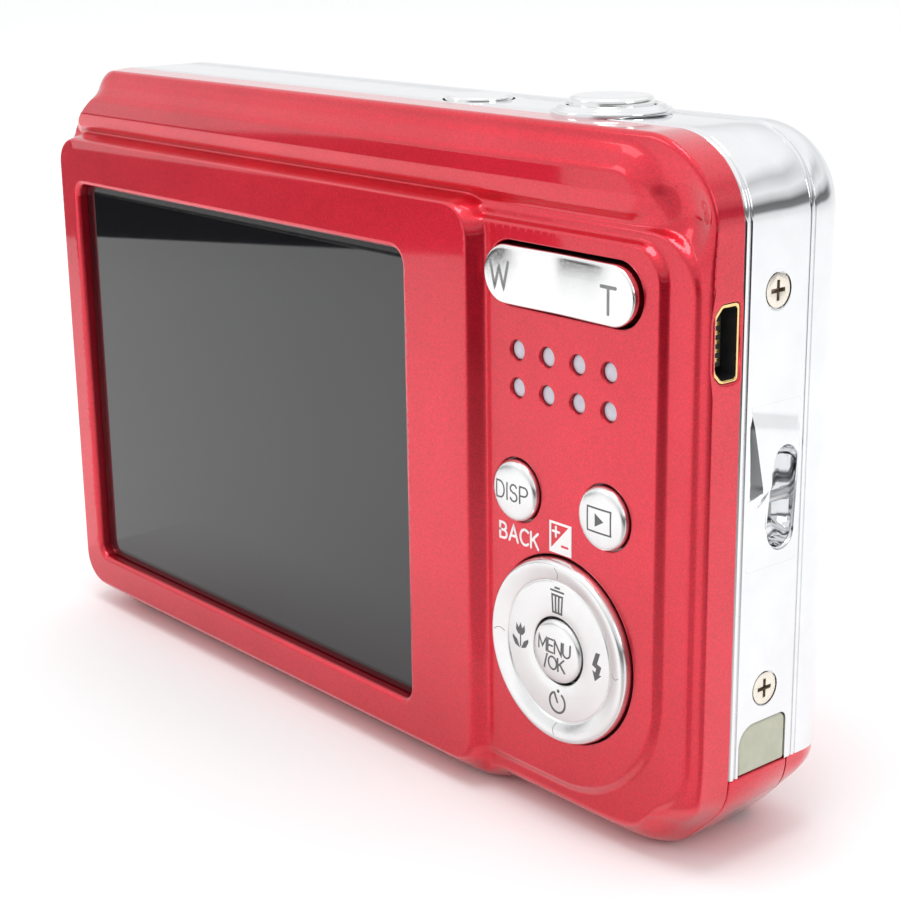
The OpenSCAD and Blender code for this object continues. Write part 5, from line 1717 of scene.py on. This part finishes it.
# ---------------------------------------------------------------- lens, flash and the rest of the front
def build_lens():
    prof = [(14.35, -8.3), (14.35, -10.85), (14.42, -11.05), (14.6, -11.18), (14.9, -11.24), (15.4, -11.25), (16.9, -11.25), (17.35, -11.22), (17.62, -11.12), (17.77, -10.95), (17.8, -10.75), (17.8, -10.50), (18.0, -10.46), (18.5, -10.45),
            (18.8, -10.40), (18.95, -10.28), (19.0, -10.1), (19.0, -9.35), (19.15, -9.27), (19.6, -9.24), (19.85, -9.18), (19.97, -9.05), (20.0, -8.9), (20.0, -8.3), (19.9, -8.25), (14.5, -8.25), (14.35, -8.3)]
    lathe("lens_ring_bezel", prof, LX, LZ, M_CHROME, "root", "lens_ring", 192, sharp=50)
    # outer barrel with fine grooves near its front
    prof = [(12.68, 1.05), (12.68, -10.6), (12.75, -10.75), (12.9, -10.80), (13.6, -10.80), (13.85, -10.75), (13.97, -10.62), (14.0, -10.45)]
    y = -9.9
    while y < -7.4:
        prof += [(14.0, y), (13.94, y + 0.05), (13.94, y + 0.15), (14.0, y + 0.20)]
        y += 0.42
    prof += [(14.0, -3.0), (14.0, 1.0), (13.9, 1.08), (12.75, 1.1), (12.68, 1.05)]
    lathe("outer_barrel_tube", prof, LX, LZ, M_BARREL, "outer_barrel", "outer_barrel", 160, sharp=40)
    prof = [(10.95, 0.85), (10.95, -10.35), (4.6, -10.35), (4.32, -10.38), (4.22, -10.46), (4.24, -10.58), (4.5, -10.70), (5.2, -10.80), (6.2, -10.85), (8.8, -10.86), (9.0, -10.88), (9.15, -10.88), (9.3, -10.84), (9.6, -10.84), (9.75, -10.88), (10.4, -10.90), (11.7, -10.89),
            (12.1, -10.84), (12.32, -10.70), (12.4, -10.5), (12.4, -6.0), (12.34, -5.94), (12.34, -5.84), (12.4, -5.78), (12.4, 0.8), (12.3, 0.88), (11.05, 0.9), (10.95, 0.85)]
    o = lathe("inner_barrel_tube", prof, LX, LZ, M_BARREL, "inner_barrel", "inner_barrel", 160, sharp=40)
    for s in (-1, 1):
        v, f = prism(circle(LX + 8.2 * s, LZ - 0.03 * s, 0.4, 24), -10.4, -9.4, "y")
        q = piece("blade_pivot_%s" % ("a" if s < 0 else "b"), v, f, M_PIN, "inner_barrel")
        fix_normals(q); sharpen(q.data, 35)
    for nm in ("barrier_upper", "barrier_lower"):
        from_cad(nm, nm + "_blade", M_BLADE, nm, 0.05, 2)
    # front element: a domed glass in a ribbed ring
    prof = [(0.0, -8.98), (1.0, -8.95), (2.0, -8.87), (3.0, -8.74), (4.0, -8.55), (5.0, -8.28), (5.6, -8.08), (5.85, -7.98), (6.0, -7.8), (6.0, -6.4), (0.0, -6.4)]
    lathe("front_lens_glass", prof, LX, LZ, M_LENS, "inner_barrel", "front_lens", 96, sharp=40)
    prof = [(6.05, -7.6), (6.05, -8.15), (6.12, -8.25), (6.3, -8.45)]
    r = 6.5
    while r < 10.2:
        prof += [(r, -8.60), (r + 0.2, -8.60), (r + 0.25, -8.72), (r + 0.45, -8.72)]
        r += 0.55
    prof += [(10.7, -9.15), (10.8, -9.1), (10.8, -8.45), (6.3, -8.4), (6.3, -7.6), (6.05, -7.6)]
    lathe("front_lens_ring", prof, LX, LZ, M_BLACK_AND_SOCKET_SHADE, "inner_barrel", (), 96, sharp=30)
    # flash: a clear window with fine ribs behind it
    def floop(d):
        return rrect(31.5 + d, 47.7 + d, 42.5 - d, 53.3 - d, max(1.1 - d, 0.05), 8)
    dep = [(0.0, -7.9), (0.02, -8.02), (0.08, -8.10), (0.18, -8.14), (0.5, -8.15)]
    pillow("flash_window_lens", floop, dep, M_CLEAR, "root", "flash_window", lambda p, h: (p[0], h, p[1]), back=-7.15)
    n = 56
    rows = []
    for i in range(n + 1):
        z = 47.9 + 5.2 * i / n
        d_ = 0.10 if i % 2 else 0.0
        rows.append([(31.7, -7.04 + d_, z), (42.3, -7.04 + d_, z), (42.3, -6.45, z), (31.7, -6.45, z)])
    v, f = rings_to_mesh(rows)
    f += [(0, 1, 2, 3), tuple(len(v) - 1 - q for q in range(4))]
    o = piece("flash_ribs", v, f, M_CLEAR, "root")
    fix_normals(o); sharpen(o.data, 20)
    from_cad("flash_lamp", "flash_reflector", M_REFLECT, "root", 0.08, 2)
    prof = [(0.0, -8.15), (0.8, -8.14), (1.4, -8.11), (1.7, -8.06), (1.82, -7.98), (1.85, -7.88), (1.85, -7.1), (2.4, -7.05), (2.4, -6.25), (0.0, -6.25)]
    lathe("focus_lamp_lens", prof, -9, 51, M_AMBER, "root", "focus_lamp_window", 64, sharp=40)
    # tripod socket: a flanged insert with thread grooves
    prof = [(4.6, 0.0), (3.45, 0.0), (3.2, 0.12)]
    z = 0.3
    while z < 5.3:
        prof += [(3.175, z), (2.86, z + 0.32), (2.86, z + 0.40), (3.175, z + 0.72)]
        z += 1.27
        prof += [(3.175, z - 0.3)]
    prof = [(4.6, 0.02), (4.56, 0.0), (3.5, 0.0), (3.3, 0.06), (3.175, 0.2)]
    for i in range(4):
        z = 0.45 + 1.27 * i
        prof += [(3.175, z), (2.90, z + 0.28), (2.90, z + 0.42), (3.175, z + 0.70)]
    prof += [(3.175, 5.5), (0.0, 5.5)]
    prof = prof + [(0.0, 6.9), (5.2, 6.9), (5.2, 1.32), (4.6, 1.3), (4.6, 0.02)]
    lathe("tripod_socket_insert", prof, 20, 0, M_BRASS, "root", "tripod_socket", 96, axis="z", cy=-1.5, sharp=30)


# ---------------------------------------------------------------- everything else keeps its CAD shape with a proper finish
FINISH = {"door_bracket": M_STEEL, "door_pin": M_PIN, "lcd_panel": M_SCREEN, "lcd_frame": M_STEEL, "dpad_actuator": M_GREY, "key_board": M_BOARD, "dome_switches": M_STEEL, "main_board": M_BOARD,
          "board_chips": M_CHIP, "chassis": M_STEEL, "lens_housing": M_BLACK_AND_SOCKET_SHADE, "cam_ring": M_BLACK_AND_SOCKET_SHADE, "zoom_lens": M_LENS, "focus_lens": M_LENS, "shutter_unit": M_BLADE, "focus_carrier": M_BLACK_AND_SOCKET_SHADE, "image_sensor": M_SENSOR,
          "sensor_board": M_BOARD, "zoom_motor": M_PIN, "zoom_gearbox": M_BLACK_AND_SOCKET_SHADE, "flash_capacitor": M_CAP, "microphone": M_STEEL, "speaker": M_BLACK_AND_SOCKET_SHADE, "battery_chamber": M_BLACK_AND_SOCKET_SHADE, "battery": M_BATT,
          "battery_contacts": M_GOLD, "card_slot": M_STEEL, "memory_card": M_CARD, "internal_screws": M_NICKEL}

build_rear_cover()
build_frame()
build_front()
build_side()
build_screen()
build_keys()
build_legends()
build_lens()
for _n, _m in FINISH.items():
    finish_cad(_n, _m)


# ---------------------------------------------------------------- stage, light, camera
def studio():
    sc = bpy.context.scene
    me = bpy.data.meshes.new("floor")
    bm = bmesh.new()
    bmesh.ops.create_grid(bm, x_segments=24, y_segments=24, size=4.0)
    bm.to_mesh(me)
    bm.free()
    fl = Nodes("white_table")
    nz = fl.noise(3.0, 3.0, 0.5)
    rp = fl.ramp(nz.outputs["Fac"], [(0.3, c4(0.95, 0.95, 0.95)), (0.7, c4(0.97, 0.97, 0.97))])
    fl.link(rp.outputs["Color"], fl.b.inputs["Base Color"])
    fl.rough(nz.outputs["Fac"], 0.5, 0.6)
    fl.set(Specular_IOR_Level=0.2)
    me.materials.append(fl.m)
    floor = link(bpy.data.objects.new("floor", me))
    # studio flags, only there to be reflected: one low behind the photographer, painted shade standing in for the
    # shaded floor on that side; one at the far end of the table; one at the foot of the object, a painted contact
    # shadow
    fm_ = Nodes("painted_shade_sheet")
    # painted shade, graded: paler at the end that lies nearest to the object
    ft = fm_.m.node_tree
    ftc = ft.nodes.new("ShaderNodeTexCoord")
    fsp = ft.nodes.new("ShaderNodeSeparateXYZ")
    ft.links.new(ftc.outputs["Object"], fsp.inputs["Vector"])
    fmr = ft.nodes.new("ShaderNodeMapRange")
    fmr.interpolation_type = "SMOOTHSTEP"
    fmr.inputs["From Min"].default_value = -0.190
    fmr.inputs["From Max"].default_value = -0.060
    ft.links.new(fsp.outputs["X"], fmr.inputs["Value"])
    rp = fm_.ramp(fmr.outputs["Result"], [(0.0, c4(0.015, 0.015, 0.015)), (0.25, c4(0.04, 0.04, 0.04)), (0.85, c4(0.36, 0.36, 0.36)), (1.0, c4(0.55, 0.55, 0.55))])
    fm_.link(rp.outputs["Color"], fm_.b.inputs["Base Color"])
    nz = fm_.noise(40.0, 3.0, 0.5)
    fm_.rough(nz.outputs["Fac"], 0.8, 0.9)
    fm_.set(Specular_IOR_Level=0.1)
    fd_ = Nodes("flag_black")
    nz = fd_.noise(40.0, 3.0, 0.5)
    rp = fd_.ramp(nz.outputs["Fac"], [(0.3, c4(0.012, 0.012, 0.012)), (0.7, c4(0.020, 0.020, 0.020))])
    fd_.link(rp.outputs["Color"], fd_.b.inputs["Base Color"])
    fd_.rough(nz.outputs["Fac"], 0.8, 0.9)
    fd_.set(Specular_IOR_Level=0.1)

    # painted contact shadow: a sheet graded from grey next to the object's foot to near white further out
    fg_ = Nodes("painted_contact_shadow_sheet")
    ft = fg_.m.node_tree
    ftc = ft.nodes.new("ShaderNodeTexCoord")
    fsp = ft.nodes.new("ShaderNodeSeparateXYZ")
    ft.links.new(ftc.outputs["Object"], fsp.inputs["Vector"])
    fmr = ft.nodes.new("ShaderNodeMapRange")
    fmr.inputs["From Min"].default_value = 0.0116
    fmr.inputs["From Max"].default_value = 0.0330
    ft.links.new(fsp.outputs["Y"], fmr.inputs["Value"])
    rp = fg_.ramp(fmr.outputs["Result"], [(0.0, c4(0.66, 0.64, 0.64)), (0.30, c4(0.75, 0.74, 0.74)), (0.65, c4(0.87, 0.86, 0.86)), (1.0, c4(0.95, 0.95, 0.95))])
    fg_.link(rp.outputs["Color"], fg_.b.inputs["Base Color"])
    nz = fg_.noise(40.0, 3.0, 0.5)
    fg_.rough(nz.outputs["Fac"], 0.8, 0.9)
    fg_.set(Specular_IOR_Level=0.1)

    def flag(name, verts, cloth):
        me = bpy.data.meshes.new(name)
        me.from_pydata(verts, [], [tuple(range(len(verts)))])
        me.materials.append(cloth.m)
        o = link(bpy.data.objects.new(name, me))
        o.visible_camera = False
        o.visible_shadow = False
        o.visible_diffuse = False

    # painted shade of the floor on the photographer's side, seen only in reflections
    flag("low_shade_sheet", [(-0.0478, 0.0120, 0.0008), (-0.052, 0.110, 0.002), (-0.10, 0.42, 0.06), (-0.42, 0.42, 0.06), (-0.42, 0.02, 0.04)], fm_)
    # painted contact shadow at the object's foot, seen only in reflections
    flag("foot_contact_shadow_sheet", [(-0.080, 0.0116, 0.0005), (0.060, 0.0116, 0.0005), (0.060, 0.034, 0.0005), (-0.080, 0.034, 0.0005)], fg_)
    flag("table_end_flag", [(0.304, 0.103, 0.0005), (0.159, 0.191, 0.0005), (0.159, 0.191, 0.026), (0.304, 0.103, 0.026)], fd_)
    w = bpy.data.worlds.new("studio")
    sc.world = w
    w.use_nodes = True
    t = w.node_tree
    bg = t.nodes["Background"]
    tc = t.nodes.new("ShaderNodeTexCoord")
    sep = t.nodes.new("ShaderNodeSeparateXYZ")
    t.links.new(tc.outputs["Generated"], sep.inputs["Vector"])
    mr = t.nodes.new("ShaderNodeMapRange")
    mr.inputs["From Min"].default_value = -1
    mr.inputs["From Max"].default_value = 1
    t.links.new(sep.outputs["Z"], mr.inputs["Value"])

    def sky(stops):
        rp = t.nodes.new("ShaderNodeValToRGB")
        e = rp.color_ramp.elements
        e[0].position, e[1].position = stops[0][0], stops[-1][0]
        e[0].color = stops[0][1] * np.array((1, 1.005, 1.015, 0)) + (0, 0, 0, 1)
        e[1].color = stops[-1][1] * np.array((1, 1.0, 1.0, 0)) + (0, 0, 0, 1)
        for pos, v in stops[1:-1]:
            x = e.new(pos)
            x.color = (v, v * 1.005, v * 1.015, 1)
        t.links.new(mr.outputs["Result"], rp.inputs["Fac"])
        return rp

    # the room: bright on the left, with a darker strip low on the right
    light = sky([(0.0, 0.80), (0.50, 0.85), (0.56, 0.90), (0.66, 0.80), (0.80, 1.0), (1.0, 1.0)])
    dark = sky([(0.0, 0.75), (0.505, 0.80), (0.53, 0.22), (0.575, 0.16), (0.61, 0.60), (0.66, 0.90), (0.74, 0.62), (0.80, 1.0), (1.0, 1.0)])
    fx = t.nodes.new("ShaderNodeMapRange")
    fx.interpolation_type = "SMOOTHSTEP"
    fx.inputs["From Min"].default_value = -0.45
    fx.inputs["From Max"].default_value = 0.05
    t.links.new(sep.outputs["X"], fx.inputs["Value"])
    mx = t.nodes.new("ShaderNodeMix")
    mx.data_type = "RGBA"
    t.links.new(fx.outputs["Result"], mx.inputs["Factor"])
    t.links.new(dark.outputs["Color"], mx.inputs[6])
    t.links.new(light.outputs["Color"], mx.inputs[7])
    t.links.new(mx.outputs[2], bg.inputs["Color"])
    bg.inputs["Strength"].default_value = 1.08

    def area(name, loc, target, size, sizey, power, col=(1, 1, 1)):
        li = bpy.data.lights.new(name, "AREA")
        li.shape = "RECTANGLE"
        li.size, li.size_y = size, sizey
        li.energy = power
        li.color = col
        o = link(bpy.data.objects.new(name, li))
        o.location = loc
        d = Vector(target) - Vector(loc)
        o.rotation_euler = d.to_track_quat("-Z", "Y").to_euler()
        return o

    area("top_softbox", (-0.05, 0.15, 0.85), (0, 0, 0.02), 0.35, 0.35, 1.9)
    area("left_softbox", (0.55, 0.75, 0.45), (0, 0, 0.03), 0.30, 0.30, 0.5)
    area("right_softbox", (-0.85, -0.10, 0.40), (0, 0, 0.03), 0.30, 0.30, 0.6)
    cam = bpy.data.cameras.new("camera")
    co = link(bpy.data.objects.new("camera", cam))
    cam.sensor_width = 36.0
    cam.lens = 76.118
    cam.clip_start = 0.005
    cam.clip_end = 50.0
    cam.dof.use_dof = False
    fwd = Vector((0.733274, -0.619460, -0.280318))
    up = Vector((0.205032, -0.191632, 0.959812))
    right = Vector((-0.648283, -0.761279, -0.013510))
    co.matrix_world = Matrix(((right.x, up.x, -fwd.x, -0.13820), (right.y, up.y, -fwd.y, 0.11218), (right.z, up.z, -fwd.z, 0.07704), (0, 0, 0, 1)))
    sc.camera = co
    sc.view_settings.view_transform = "Standard"
    sc.view_settings.look = "None"


studio()
bpy.context.view_layer.update()
